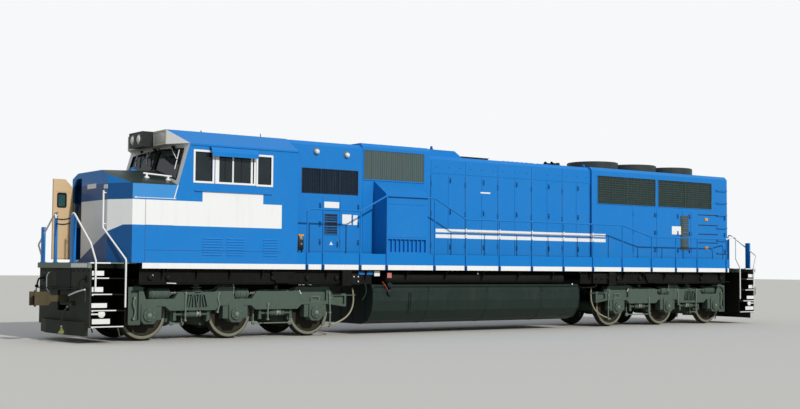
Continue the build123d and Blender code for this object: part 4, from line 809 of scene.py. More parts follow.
def makeNumberBoards():
    boards, screws = [], []
    for x, sign, thick, y0, y1, z0, z1, inset in numberBoards:
        boards.append(slab((x - sign * thick, y0, rail + z0), (x, y1, rail + z1), 0.004, 2))
        for y in (y0 + 0.015, y1 - 0.015):
            for z in (z0 + inset, z1 - inset):
                screws.append(lathe([(0, 0.007), (0.004, 0.006)], (x, y, rail + z), (sign, 0, 0), 8))
    fit("numberBoards", boards, "boardFace", sides=True)
    fit("boardScrews", screws, "bareSteel", sides=True)


lampSpots = dict(ends=[(9.0, 4.365, 1), (-9.915, 4.08, -1)], side=0.165,
                 rim=[(0, 0.118), (0.012, 0.120), (0.020, 0.112), (0.012, 0.098), (-0.02, 0.09)],
                 lens=[(-0.03, 0.02), (-0.02, 0.06), (0.0, 0.092), (0.012, 0.080), (0.022, 0.055),
                       (0.028, 0.020), (0.029, 0.003)])


def makeLamps():
    rims, lenses = [], []
    for x, z, sign in lampSpots["ends"]:
        for y in (-lampSpots["side"], lampSpots["side"]):
            rims.append(lathe(lampSpots["rim"], (x - sign * 0.002, y, rail + z), (sign, 0, 0), 40))
            lenses.append(lathe(lampSpots["lens"], (x - sign * 0.004, y, rail + z), (sign, 0, 0), 40))
    fit("lampRims", rims, "bareSteel")
    fit("lampLenses", lenses, "lampGlass")


noseDoor = dict(open=82, hinge=(10.074, -0.95), face=10.02, low=1.697, high=3.48,
                window=(-0.76, -0.56), windowDrop=(0.62, 0.32), lining=(-0.93, -0.47))


def makeDoorFittings():   # on the open nose door, whose inner face looks to the left
    def placed(piece):   # from the shut place to the open one
        pick(piece)
        bpy.context.scene.cursor.location = (0, 0, 0)
        bpy.ops.transform.rotate(value=math.radians(noseDoor["open"]), orient_axis="Z",
                                 center_override=(*noseDoor["hinge"], 0))
        return piece

    low, high, face = rail + noseDoor["low"], rail + noseDoor["high"], noseDoor["face"]
    y0, y1 = noseDoor["window"]
    z0, z1 = [high - drop for drop in noseDoor["windowDrop"]]
    black = [ringPipe([(face - 0.002, y, z) for y, z in ((y0, z0), (y1, z0), (y1, z1), (y0, z1))],
                      0.018, 0.06),
             slab((face - 0.008, -0.944, low + 0.02), (face, -0.930, high - 0.22), 0.002)]
    glass = [slab((face + 0.014, y0 - 0.01, z0 - 0.01), (face + 0.024, y1 + 0.01, z1 + 0.01), 0.002)]
    y0, y1 = noseDoor["lining"]
    lining = windowRing((y0, 0, low + 0.03), (y1, 0.006, high - 0.24), 0.05, 0.002)
    pick(lining)
    bpy.ops.transform.rotate(value=-math.pi / 2, orient_axis="Z", center_override=(0, 0, 0))
    lining.location = (face, 0, 0)
    cream = [applyPlace(lining)]
    steel = []
    for z in (low + 0.55, low + 0.95, high - 0.75):
        steel.append(rod((face, -0.50, z), (face - 0.035, -0.50, z), 0.016))
        steel.append(slab((face - 0.045, -0.56, z - 0.014), (face - 0.030, -0.48, z + 0.014), 0.005, 2))
    steel.append(bentPipe([(face, -0.53, low + 0.72), (face - 0.06, -0.53, low + 0.72),
                           (face - 0.06, -0.53, low + 0.86), (face, -0.53, low + 0.86)], 0.009))
    for name, parts, look, slotName in (
            ("doorSeals", black, "rubber", "rubber"), ("doorLatches", steel, "bareSteel", "galvanised"),
            ("doorGlass", glass, "tealGlass", "window_glass"),
            ("doorLining", cream, "creamPaint", "cream_paint")):
        fit(name, [placed(join(parts))], look, body="nose_door")


# Steps, walkways and handrails

treads = dict(heights=[0.33, 0.66, 0.99, 1.32], nosingFrom=[9.87, 10.033, 10.13, 10.20],
              front=10.56, rear=9.85, outer=1.5, inner=0.9)
stepLabels = [   # X low, X high, Z low, Z high: blank plates on the pilot's side edge, above each step
    (10.302, 10.556, 1.368, 1.465), (10.314, 10.556, 1.036, 1.135),
    (10.226, 10.556, 0.714, 0.807), (10.156, 10.540, 0.383, 0.487)]
labelFace = 1.478


def makeStepEdges():
    edges, grips = [], []
    front, rear, outer, inner = (treads[key] for key in ("front", "rear", "outer", "inner"))
    for z, nosing in zip(treads["heights"], treads["nosingFrom"]):
        top = rail + z
        edges.append(slab((front - 0.034, inner + 0.012, top - 0.030),
                          (front - 0.001, outer + 0.008, top + 0.008)))
        edges.append(slab((nosing, outer - 0.004, top - 0.016), (front - 0.03, outer + 0.012, top + 0.008)))
        row = slab((rear + 0.05, inner + 0.04, top), (rear + 0.075, outer - 0.05, top + 0.006), 0.002)
        grips.append(repeat(row, 13, (0.048, 0, 0)))
    edges.append(slab((10.165, 1.475, rail + 1.612), (10.60, 1.492, rail + 1.640), 0.003))
    fit("stepEdges", [bothEnds(bothSides(join(edges)))], "whitePaint")
    fit("stepGrips", [bothEnds(bothSides(join(grips)))], "blackPaint")


def makeStepLabels():
    labels = [slab((x0, labelFace - 0.004, rail + z0), (x1, labelFace + 0.004, rail + z1), 0.001)
              for x0, x1, z0, z1 in stepLabels]
    labels.append(lathe([(0, 0.078), (0.012, 0.074), (0.020, 0.050), (0.024, 0.004)],
                        (10.336, labelFace - 0.008, rail + 0.585), (0, 1, 0), 24))
    labels.append(slab((10.33, labelFace - 0.008, rail + 0.57),
                       (10.556, labelFace - 0.002, rail + 0.60), 0.001))
    made = bothEnds(bothSides(join(labels)))
    plates = [slab((10.641, 0.54, rail + 1.533), (10.645, 1.43, rail + 1.617), 0.001)]
    plates.append(slab((-10.645, -1.43, rail + 1.533), (-10.641, -0.54, rail + 1.617), 0.001))
    fit("stepLabels", [made] + plates, "whitePaint")


chain = dict(link=0.034, wire=0.0055, sag=0.035)


def chainBetween(start, end):   # welded links, every second one turned
    start, end = Vector(start), Vector(end)
    span = (end - start).length
    count = max(3, round(span / (chain["link"] * 0.78)))
    links = []
    for index in range(count):
        share = (index + 0.5) / count
        place = start.lerp(end, share)
        place.z -= chain["sag"] * 4 * share * (1 - share)
        slope = -chain["sag"] * 4 * (1 - 2 * share) / span
        along = ((end - start).normalized() + Vector((0, 0, slope))).normalized()
        clearPick()
        bpy.ops.mesh.primitive_torus_add(major_radius=chain["link"] * 0.36, minor_radius=chain["wire"],
                                         major_segments=10, minor_segments=5)
        link = bpy.context.object
        link.scale = (1.45, 1, 1)
        link.rotation_mode = "QUATERNION"
        turn = Quaternion((1, 0, 0), math.radians(90 * (index % 2)))
        link.rotation_quaternion = along.to_track_quat("X", "Z") @ turn
        link.location = place
        links.append(applyPlace(link))
    return join(links)


railFittings = dict(posts=[5.5, 5.07, 4.04, 3.28, 1.84, 0.85, -0.26, -1.37, -2.50, -3.60, -4.74, -5.92, -6.94,
                           -7.87, -9.18], screwDrops=(0.035, 0.09), foot=0.03, footLow=0.108, footHigh=0.012,
                    chainX=10.615, chainHalf=0.46, chainHeights=(2.585, 2.48))
screwHead = [(0, 0.012), (0.010, 0.011), (0.011, 0.004)]


def makeRailFittings():
    feet, chains = [], []
    half = railFittings["foot"]
    for x in railFittings["posts"]:
        for drop in railFittings["screwDrops"]:
            feet.append(lathe(screwHead, (x, cabSide + 0.038, deckTop - drop), (0, 1, 0), 6))
        feet.append(slab((x - half, cabSide + 0.001, deckTop - railFittings["footLow"]),
                         (x + half, cabSide + 0.034, deckTop - railFittings["footHigh"])))
    fit("railFeet", feet, "blackPaint", sides=True)
    half = railFittings["chainHalf"]
    for x in (railFittings["chainX"], -railFittings["chainX"]):
        for z in railFittings["chainHeights"]:
            chains.append(chainBetween((x, -half, rail + z), (x, half, rail + z)))
    fit("endChains", chains, "hoodDark")


# Hoods

hoodDoors = dict(seams=[1.54, 0.43, -0.67, -1.85, -2.98, -4.04], proud=0.008, latches=(3.80, 3.0, 2.12),
                 hinges=(3.70, 2.95, 2.15), screws=4.12, lone=(4.33, 2.12))
sideDoors = [   # X low, X high, the wall, heights of the latches and hinges
    (4.77, 5.68, hoodSide, (2.17, 2.595, 3.02)), (3.69, 4.26, hoodSide, (2.17, 2.595, 3.02)),
    (-6.65, -5.70, radiatorSide, (2.15, 2.65, 3.16)), (-7.64, -6.69, radiatorSide, (2.15, 2.65, 3.16)),
    (-8.14, -7.80, radiatorSide, (2.15, 2.65, 3.16)), (-9.76, -8.18, radiatorSide, (2.15, 2.65, 3.16))]
sideLamp = dict(places=[(4.932, 4.291), (4.079, 4.259)], base=[(0, 0.085), (0.012, 0.083), (0.03, 0.066)],
                lens=[(0, 0.055), (0.02, 0.060), (0.055, 0.062), (0.085, 0.045), (0.10, 0.015),
                      (0.101, 0.003)])


def makeHoodLatches():
    side = hoodSide + hoodDoors["proud"]
    dark, blue = [], []

    def latch(x, z, out):
        blue.append(slab((x - 0.022, out, rail + z - 0.075), (x + 0.022, out + 0.012, rail + z + 0.075)))
        dark.append(slab((x - 0.011, out + 0.010, rail + z - 0.055),
                         (x + 0.011, out + 0.034, rail + z + 0.02), 0.005, 2))
        dark.append(lathe([(0, 0.015), (0.022, 0.013), (0.024, 0.004)], (x, out + 0.01, rail + z + 0.045),
                          (0, 1, 0), 10))

    def hinge(x, z, out):
        blue.append(rod((x, out + 0.004, rail + z - 0.06), (x, out + 0.004, rail + z + 0.06), 0.010, 10))

    for x1, x0 in zip(hoodDoors["seams"], hoodDoors["seams"][1:]):
        middle = (x0 + x1) / 2
        for z in hoodDoors["latches"]:
            latch(middle - 0.06, z, side)
        for edge in (x0 + 0.022, x1 - 0.022):
            for z in hoodDoors["hinges"]:
                hinge(edge, z, side)
        for x in (x0 + 0.16, middle, x1 - 0.16):
            dark.append(lathe([(0, 0.011), (0.008, 0.010), (0.009, 0.003)],
                              (x, side, rail + hoodDoors["screws"]), (0, 1, 0), 8))
    latch(*hoodDoors["lone"], side)
    for x0, x1, wall, heights in sideDoors:
        for z in heights:
            latch(x0 + 0.05, z, wall + hoodDoors["proud"])
            hinge(x1 - 0.015, z, wall + hoodDoors["proud"])
    fit("hoodHinges", blue, "bluePaint", sides=True)
    fit("hoodLatches", dark, "hoodDark", sides=True)


screens = dict(cabinet=(3.745, 5.315, 3.31, 3.885), cabinetWire=0.0045, cabinetGap=0.048, frame=0.026,
               radiators=[(-6.65, -4.28), (-9.13, -6.76)], low=3.41, high=4.20, wire=0.004,
               gapAlong=0.06, gapUp=0.064, intake=(1.755, 3.58, 3.70, 4.42),
               slats=28, slatStart=1.7805, slatGap=0.065, slat=0.009)


def makeScreens():
    x0, x1, z0, z1 = screens["cabinet"]
    wire, gap = screens["cabinetWire"], screens["cabinetGap"]
    upright = rod((x0 + 0.02, hoodSide - 0.006, rail + z0), (x0 + 0.02, hoodSide - 0.006, rail + z1), wire, 6)
    across = rod((x0, hoodSide - 0.012, rail + z0 + 0.03), (x1, hoodSide - 0.012, rail + z0 + 0.03), wire, 6)
    wires = [repeat(upright, 33, (gap, 0, 0)), repeat(across, 12, (0, 0, gap)),
             windowRing((x0 - 0.01, hoodSide - 0.016, rail + z0 - 0.01),
                        (x1 + 0.01, hoodSide + 0.006, rail + z1 + 0.01), 0.018, 0.003)]
    fit("cabinetMesh", wires, "meshDark", sides=True)
    frames, grid = [], []
    wire, low, high = screens["wire"], rail + screens["low"], rail + screens["high"]
    for x0, x1 in screens["radiators"]:
        frames.append(windowRing((x0 - 0.012, radiatorSide - 0.012, low - 0.012),
                                 (x1 + 0.012, radiatorSide + 0.012, high + 0.012), screens["frame"]))
        upright = rod((x0 + 0.04, radiatorSide, low), (x0 + 0.04, radiatorSide, high), wire, 6)
        grid.append(repeat(upright, 39, (screens["gapAlong"], 0, 0)))
        across = rod((x0, radiatorSide + 0.003, low + 0.05), (x1, radiatorSide + 0.003, low + 0.05), wire, 6)
        grid.append(repeat(across, 12, (0, 0, screens["gapUp"])))
    x0, x1, z0, z1 = screens["intake"]
    frames.append(windowRing((x0 - 0.02, hoodSide - 0.012, rail + z0 - 0.018),
                             (x1 + 0.02, hoodSide + 0.016, rail + z1 + 0.020), screens["frame"]))
    fit("screenFrames", frames, "bluePaint", sides=True)
    fit("radiatorWire", grid, "screenGrey", sides=True)
    slats = []
    for number in range(screens["slats"]):
        x = screens["slatStart"] + number * screens["slatGap"]
        slats.append(bentPipe([(x, hoodSide + 0.004, rail + z0 + 0.005),
                               (x, hoodSide + 0.004, rail + z1 - 0.002)], screens["slat"]))
    back = slab((x0, hoodSide - 0.010, rail + z0), (x1, hoodSide + 0.001, rail + z1), 0.002)
    fit("intakeBacking", [back], "screenGrey", sides=True)
    fit("intakeSlats", slats, "slatGrey", sides=True)


hoodLabels = [   # X low, X high, Z low, Z high, distance out: blank plates and panels
    (4.28, 4.70, 2.975, 3.120, 1.009), (3.93, 4.19, 2.590, 2.835, 1.009), (3.755, 3.88, 2.590, 2.825, 1.009),
    (-0.41, -0.08, 3.515, 3.552, 1.009), (-7.76, -7.34, 2.62, 2.86, 1.069)]


def makeHoodLabels():
    labels = [slab((x0, y - 0.001, rail + z0), (x1, y + 0.003, rail + z1), 0.001)
              for x0, x1, z0, z1, y in hoodLabels]
    labels.append(rod((4.50, 1.006, rail + 2.13), (4.50, 1.012, rail + 2.13), 0.055, 3))
    fit("blankLabels", labels, "whitePaint", sides=True)
    lamps, guards = [], []
    for x, z in sideLamp["places"]:
        lamps.append(lathe(sideLamp["lens"], (x, hoodSide, rail + z), (0, 1, -0.25), 20))
        guards.append(lathe(sideLamp["base"], (x, hoodSide - 0.002, rail + z), (0, 1, 0), 20))
    fit("sideLamps", lamps, "lampGlass", sides=True)
    fit("sideLampBases", guards, "galvanised", sides=True)
    box = [slab((5.275, 0.998, rail + 1.98), (5.45, 1.05, rail + 2.34), 0.012, 2),
           slab((5.30, 1.045, rail + 2.02), (5.425, 1.075, rail + 2.30), 0.010, 2)]
    box += [bentPipe([(x, 1.03, rail + 1.99), (x, 1.03, rail + 1.92)], 0.014) for x in (5.31, 5.42)]
    fit("sideSwitchBox", box, "hoodDark")
    caps = [lathe([(0, 0.050), (0.02, 0.048), (0.03, 0.02), (0.031, 0.003)], (5.362, 1.072, rail + 2.24),
                  (0, 1, 0), 16),
            lathe([(0, 0.028), (0.02, 0.026), (0.022, 0.004)], (5.362, 1.072, rail + 2.11), (0, 1, 0), 12)]
    fit("sideSockets", caps, "galvanised")
    amber = slab((5.29, 1.052, rail + 2.285), (5.435, 1.080, rail + 2.335), 0.010, 2)
    marks = [slab((-8.935, radiatorSide, rail + z - 0.045),
                  (-8.80, radiatorSide + 0.030, rail + z + 0.045), 0.010, 2) for z in (3.10, 2.24)]
    fit("sideMarkerLamps", marks, "amberGlass", sides=True)
    fit("sideAmberCap", [amber], "amberGlass")


roofBolts = dict(head=[(0, 0.016), (0.010, 0.015), (0.012, 0.004)], hatches=[(-3.40, -2.30), (-2.15, -1.05)],
                 hatchSide=0.72, hatchTop=4.432, fans=(-5.15, -6.76, -8.37), fanRing=0.76, fanTop=4.455,
                 stepStart=1.75, stepGap=0.3, stepSide=0.84, stepTop=4.585)
roofDome = [(0, 0.09), (0.02, 0.088), (0.05, 0.05), (0.07, 0.018), (0.11, 0.012), (0.115, 0.003)]


def makeRoofBolts():
    places = []
    for x0, x1 in roofBolts["hatches"]:
        for x in [x0 + 0.05 + i * (x1 - x0 - 0.1) / 6 for i in range(7)]:
            places += [(x, side * roofBolts["hatchSide"], rail + roofBolts["hatchTop"]) for side in (-1, 1)]
    for x in roofBolts["fans"]:
        for i in range(16):
            angle = math.radians(i * 22.5 + 11)
            places.append((x + roofBolts["fanRing"] * math.cos(angle), roofBolts["fanRing"] * math.sin(angle),
                           rail + roofBolts["fanTop"]))
    for x in [roofBolts["stepStart"] + i * roofBolts["stepGap"] for i in range(7)]:
        places += [(x, side * roofBolts["stepSide"], rail + roofBolts["stepTop"]) for side in (-1, 1)]
    bolts = copiesAt(lathe(roofBolts["head"], (0, 0, 0), (0, 0, 1), 6), places)
    fit("roofBolts", [bolts], "bluePaint")
    dark = [lathe(roofDome, (7.6, 0.35, rail + 4.53), (0, 0, 1), 20),
            slab((6.35, -0.55, rail + 4.525), (7.25, 0.15, rail + 4.63), 0.03, 3),
            rod((6.15, 0.5, rail + 4.52), (6.15, 0.5, rail + 4.66), 0.010, 8)]
    fit("cabRoofFittings", dark, "hoodDark")


vents = [
    # X low, X high, Z low, Z high, distance out, rows, finish
    (4.335, 4.685, 2.350, 2.830, 1.009, 12, "hoodDark"),
    (-8.065, -7.735, 2.165, 3.175, 1.069, 24, "ventOlive"),
]
rungs = dict(heights=[3.232, 2.925, 2.656, 2.398], low=-9.40, high=-8.50, out=1.069)


def makeVents():
    for number, (x0, x1, z0, z1, out, rows, look) in enumerate(vents):
        parts = [windowRing((x0, out - 0.004, rail + z0), (x1, out + 0.012, rail + z1), 0.018, 0.003),
                 slab((x0 + 0.01, out - 0.003, rail + z0 + 0.01),
                      (x1 - 0.01, out + 0.005, rail + z1 - 0.01), 0)]
        step = (z1 - z0 - 0.05) / rows
        slat = slab((x0 + 0.016, out, rail + z0 + 0.026),
                    (x1 - 0.016, out + 0.013, rail + z0 + 0.026 + step * 0.45), 0.002)
        parts.append(repeat(slat, rows, (0, 0, step)))
        fit(f"sideVent{number + 1}", parts, look, sides=True)
    # painted shade: dark bars standing in for the shaded insides of recessed grab slots on the radiator doors
    bars = [slab((rungs["low"], rungs["out"] - 0.002, rail + z - 0.013),
                 (rungs["high"], rungs["out"] + 0.005, rail + z + 0.013), 0.003)
            for z in rungs["heights"]]
    fit("rearDoorSlots", bars, "hoodDark", sides=True)


def makeSeams():   # dark joints between plates
    lines = [slab((9.446, cabSide - 0.002, rail + 1.645), (9.453, cabSide + 0.0015, rail + 2.985), 0)]
    for x0, x1, z in ((6.18, 9.44, 1.905), (8.80, 9.44, 2.43)):
        lines.append(slab((x0, cabSide - 0.002, rail + z - 0.003),
                          (x1, cabSide + 0.0012, rail + z + 0.003), 0))
    for x in hoodDoors["seams"]:
        lines.append(slab((x - 0.003, hoodSide - 0.002, rail + 1.95),
                          (x + 0.003, hoodSide + 0.0105, rail + 3.92), 0))
    for x0, x1 in zip(hoodDoors["seams"], hoodDoors["seams"][1:]):
        middle = (x0 + x1) / 2
        lines.append(slab((middle - 0.003, hoodSide + 0.006, rail + 1.95),
                          (middle + 0.003, hoodSide + 0.0095, rail + 2.33), 0))
    fit("plateSeams", lines, "hoodDark", sides=True)


# Seats

seat = dict(place=(7.3, 0.95), half=0.225, cushionLow=2.735, cushionHigh=2.845, backFront=7.105,
            backRear=6.995, backLow=2.862, backHigh=3.50, voxel=0.016, pressure=4.0, swell=0.012)


def puffed(piece):   # a padded cover blown up from inside, each point moving no further than the swell
    shape(piece, "REMESH", mode="VOXEL", voxel_size=seat["voxel"])
    rest = [vertex.co.copy() for vertex in piece.data.vertices]
    pick(piece)
    cloth = piece.modifiers.new("cover", "CLOTH")
    cloth.settings.use_pressure = True
    cloth.settings.uniform_pressure_force = seat["pressure"]
    cloth.settings.effector_weights.gravity = 0
    for moment in range(1, 21):
        bpy.context.scene.frame_set(moment)
    bpy.ops.object.modifier_apply(modifier=cloth.name)
    bpy.context.scene.frame_set(1)
    for vertex, start in zip(piece.data.vertices, rest):
        move = vertex.co - start
        if move.length > seat["swell"]:
            vertex.co = start + move.normalized() * seat["swell"]
    return shape(piece, "SUBSURF", levels=1, render_levels=1)


def makeSeats():
    x, y = seat["place"]
    half = seat["half"]
    low, high = seat["cushionLow"], seat["cushionHigh"]
    cushion = puffed(slab((x - half, y - half, low + 0.008), (x + half, y + half, high - 0.012), 0.035, 3))
    back = puffed(slab((seat["backRear"] + 0.012, y - half + 0.01, seat["backLow"]),
                       (seat["backFront"] - 0.012, y + half - 0.01, seat["backHigh"]), 0.035, 3))
    for name, piece in (("SeatCushion", cushion), ("SeatBack", back)):
        right = twin(piece)
        right.location = (0, -2 * y, 0)
        applyPlace(right)
        for side, pad in (("left", piece), ("right", right)):
            fit(f"{side}{name}", [pad], "seatCloth", smooth=1.2)
            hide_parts("cab_seats")
    stand = [slab((x - half + 0.02, y - half + 0.02, low - 0.03),
                  (x + half - 0.02, y + half - 0.02, low + 0.012), 0.01, 2)]
    stand.append(lathe([(0, 0.16), (0.02, 0.155), (0.035, 0.05), (0.30, 0.045), (0.31, 0.034), (0.36, 0.034)],
                       (x, y, low - 0.375), (0, 0, 1), 20))
    stand.append(slab((seat["backRear"] - 0.004, y - half + 0.04, seat["backLow"] - 0.10),
                      (seat["backRear"] + 0.02, y + half - 0.04, seat["backHigh"] - 0.06), 0.008, 2))
    for armY in (y - half - 0.012, y + half + 0.012):
        stand.append(bentPipe([(x + 0.10, armY, low), (x + 0.10, armY, low + 0.20),
                               (seat["backRear"] + 0.01, armY, low + 0.22)], 0.014, curved=True))
    stands = bothSides(join(stand))
    fit("seatStands", [stands], "blackPaint")
    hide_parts("cab_seats")


# Trucks: modelled at the front one, mirrored across, and turned round for the rear one

truckPlace = 7.068
axleSpacing = 2.079
wheelPlaces = [-axleSpacing, 0.0, axleSpacing]
axleHeight = rail + 0.5334
capFace = 1.176


def onTruck(x, y, z):
    return (truckPlace + x, y, rail + z)


def fitTrucks(name, parts, look, sides=True):
    front = join(parts)
    if sides:
        bothSides(front)
    rear = turnedRound(front)
    fit(f"front{name}", [front], look, body="front_truck")
    fit(f"rear{name}", [rear], look, body="rear_truck")


truckBolts = dict(head=[(0, 0.016), (0.010, 0.015), (0.014, 0.010), (0.016, 0.003)], ring=0.108,
                  cap=[(0, 0.046), (0.008, 0.045), (0.012, 0.030), (0.013, 0.003)],
                  mark=[(-2.18, 0.79), (-1.97, 0.79), (-1.97, 0.90), (-2.18, 0.90)], markFace=1.133,
                  markBar=0.009)


def makeTruckBolts():
    places = []
    for x in wheelPlaces:
        for index in range(6):
            turn = math.radians(index * 60 + 30)
            places.append((truckPlace + x + truckBolts["ring"] * math.cos(turn), capFace - 0.003,
                           axleHeight + truckBolts["ring"] * math.sin(turn)))
    bolts = [copiesAt(lathe(truckBolts["head"], (0, 0, 0), (0, 1, 0), 6), places)]
    bolts += lathes(truckBolts["cap"], [(truckPlace + x, capFace + 0.013, axleHeight) for x in wheelPlaces],
                    (0, 1, 0), 20)
    # The oval cast mark, left blank
    corners = [onTruck(x, truckBolts["markFace"], z) for x, z in truckBolts["mark"]]
    bolts.append(ringPipe(corners, truckBolts["markBar"], 0.08))
    fitTrucks("TruckBolts", bolts, "truckPale")


topPipes = [
    # X from the truck's centre, Y, Z above the rail
    [(1.45, 1.09, 0.99), (1.36, 1.09, 1.045), (0.95, 1.10, 1.045), (0.55, 1.09, 1.045), (0.47, 1.09, 1.145),
     (0.25, 1.09, 1.148), (0.08, 1.09, 1.148), (0.03, 1.09, 1.11)],
    [(-0.42, 1.09, 0.98), (-0.50, 1.09, 1.05), (-1.0, 1.09, 1.05), (-1.46, 1.09, 1.05), (-1.56, 1.09, 1.14),
     (-2.0, 1.09, 1.143), (-2.40, 1.09, 1.14), (-2.52, 1.09, 1.0), (-2.60, 1.09, 0.97)],
    [(2.50, 1.10, 1.0), (2.46, 1.10, 1.145), (2.30, 1.10, 1.148), (2.18, 1.10, 1.10)],
]
pipeClips = [(1.20, 1.045), (0.72, 1.045), (0.30, 1.147), (-0.75, 1.05), (-1.25, 1.05), (-1.75, 1.142),
             (-2.25, 1.142)]
facePipes = [
    [(-2.44, 1.150, 0.97), (-2.46, 1.155, 0.70), (-2.47, 1.155, 0.40), (-2.46, 1.150, 0.20)],
    [(2.40, 1.125, 0.90), (2.45, 1.135, 0.78), (2.36, 1.135, 0.62), (2.42, 1.125, 0.46)],
    [(0.42, 1.125, 0.99), (0.47, 1.150, 0.87), (0.40, 1.150, 0.74), (0.46, 1.135, 0.58)],
    [(1.232, 1.145, 1.00), (1.232, 1.150, 0.70), (1.232, 1.135, 0.41)],
    [(-0.81, 1.145, 0.74), (-0.80, 1.150, 0.58), (-0.81, 1.135, 0.40)],
]


def makeTruckPipes():
    dark = [bentPipe([onTruck(*point) for point in line], 0.014, curved=True) for line in topPipes]
    for x, z in pipeClips:
        dark.append(slab(onTruck(x - 0.016, 1.068, z - 0.024), onTruck(x + 0.016, 1.112, z + 0.019), 0.005))
    fitTrucks("TopPipes", dark, "truckPaint")
    pale = [bentPipe([onTruck(*point) for point in line], 0.017, curved=True) for line in facePipes]
    for line in facePipes:
        for x, y, z in (line[0], line[-1]):
            pale.append(rod(onTruck(x, y - 0.04, z), onTruck(x, y + 0.022, z), 0.026, 12))
    for z in (0.86, 0.52):
        pale.append(slab(onTruck(-2.49, 1.10, z - 0.018), onTruck(-2.43, 1.176, z + 0.018), 0.005))
    fitTrucks("FacePipes", pale, "truckPale")


cylinders = dict(rib=[(0, 0.118), (0.004, 0.129), (0.014, 0.129), (0.018, 0.118)],
                 ribPlace=(1.68, 1.035, 0.985),
                 ribs=9, ribGap=0.043, band=[(0, 0.118), (0.004, 0.130), (0.022, 0.130), (0.026, 0.118)],
                 bands=[(-0.30, 1.035, 0.975), (-0.12, 1.035, 0.975)])
pushRods = dict(places=[(1.40, 1.005, 0.15), (-0.50, 0.985, 0.12)], radius=0.026,   # X, Z, length
                collar=[(0, 0.03), (0.006, 0.042), (0.028, 0.042), (0.034, 0.03)])
adjusters = dict(places=(0.84, -1.17), shape=[
    (0, 0.040), (0.006, 0.062), (0.030, 0.064), (0.034, 0.050), (0.075, 0.050), (0.080, 0.066),
    (0.105, 0.066),
    (0.110, 0.045)])
airPipe = [(0.06, 1.12, 0.96), (0.05, 1.12, 1.08), (0.07, 1.12, 1.20), (0.06, 1.10, 1.285)]
brakePins = [(1.46, 0.34, 0.052), (1.22, 0.33, 0.044), (-0.55, 0.31, 0.045),
             (-1.50, 0.30, 0.050)]   # X, Z, radius
brakeLinks = [(-1.55, -0.50, 0.30), (1.18, 1.50, 0.335)]   # X low, X high, Z
sideBearing = dict(place=(0.94, 1.03, 1.02), shape=[
    (0, 0.15), (0.02, 0.15), (0.03, 0.07), (0.075, 0.06), (0.085, 0.115), (0.11, 0.115), (0.12, 0.05),
    (0.26, 0.045)])
paintMark = dict(half=(0.009, 0.052), lean=0.5, place=(-1.66, 1.130, 1.0))


def makeTruckRigging():
    rib = lathe(cylinders["rib"], onTruck(*cylinders["ribPlace"]), (1, 0, 0), 28)
    ribs = [repeat(rib, cylinders["ribs"], (cylinders["ribGap"], 0, 0))]
    ribs += lathes(cylinders["band"], [onTruck(*place) for place in cylinders["bands"]], (1, 0, 0), 28)
    fitTrucks("CylinderRings", ribs, "truckPaint")
    bright = []
    for x, z, length in pushRods["places"]:
        bright.append(rod(onTruck(x, 1.06, z), onTruck(x + length, 1.06, z), pushRods["radius"], 16))
        bright.append(lathe(pushRods["collar"], onTruck(x + 0.05, 1.06, z), (1, 0, 0), 16))
    for x in adjusters["places"]:
        bright.append(lathe(adjusters["shape"], onTruck(x, 1.03, 0.545), (1, 0, 0), 20))
        for side in (0.02, 0.09):
            bright.append(rod(onTruck(x + side, 1.09, 0.50), onTruck(x + side, 1.09, 0.60), 0.013, 8))
    bright.append(bentPipe([onTruck(*point) for point in airPipe], 0.014, curved=True))
    bright.append(rod(onTruck(0.045, 1.12, 1.12), onTruck(0.085, 1.12, 1.12), 0.026, 12))
    fitTrucks("RiggingPins", bright, "bareSteel")
    hanging = []
    for x, z, radius in brakePins:
        profile = [(0, radius * 0.6), (0.01, radius), (0.05, radius), (0.06, radius * 0.6),
                   (0.075, radius * 0.3)]
        hanging.append(lathe(profile, onTruck(x, 0.90, z), (0, 1, 0), 16))
        hanging.append(rod(onTruck(x, 0.92, z), onTruck(x, 0.92, z + 0.30), 0.018, 8))
    hanging += [rod(onTruck(x0, 0.93, z), onTruck(x1, 0.93, z), 0.014, 8) for x0, x1, z in brakeLinks]
    fitTrucks("HangingRods", hanging, "truckPale")
    disc = lathe(sideBearing["shape"], onTruck(*sideBearing["place"]), (0, 0, 1), 24)
    fitTrucks("SideBearings", [disc], "truckPaint")
    wide, tall = paintMark["half"]
    slash = slab((-wide, 0, -tall), (wide, 0.004, tall), 0.001)
    slash.rotation_euler = (0, paintMark["lean"], 0)
    slash.location = onTruck(*paintMark["place"])
    fitTrucks("PaintMarks", [applyPlace(slash)], "whitePaint")


sandPipe = [(-3.10, 1.13, 1.09), (-3.16, 1.14, 0.80), (-3.02, 1.15, 0.46), (-2.69, 1.15, 0.28),
            (-2.33, 1.13, 0.20), (-2.28, 1.05, 0.19)]


def makeSandPipes():   # stiff pipes clipped to the frame, so none is a free hose
    pipe = bentPipe([onTruck(*point) for point in sandPipe], 0.019, 12, curved=True)
    fitTrucks("SandPipes", [pipe], "beigeHose")
    clips = [rod(onTruck(-2.90, 1.09, 0.92), onTruck(-3.15, 1.14, 0.92), 0.014, 8),
             slab(onTruck(-3.17, 1.112, 0.90), onTruck(-3.12, 1.168, 0.94), 0.006),
             rod(onTruck(-2.47, 1.12, 0.235), onTruck(-2.47, 1.16, 0.235), 0.03, 10)]
    fitTrucks("SandPipeClips", clips, "truckPaint")


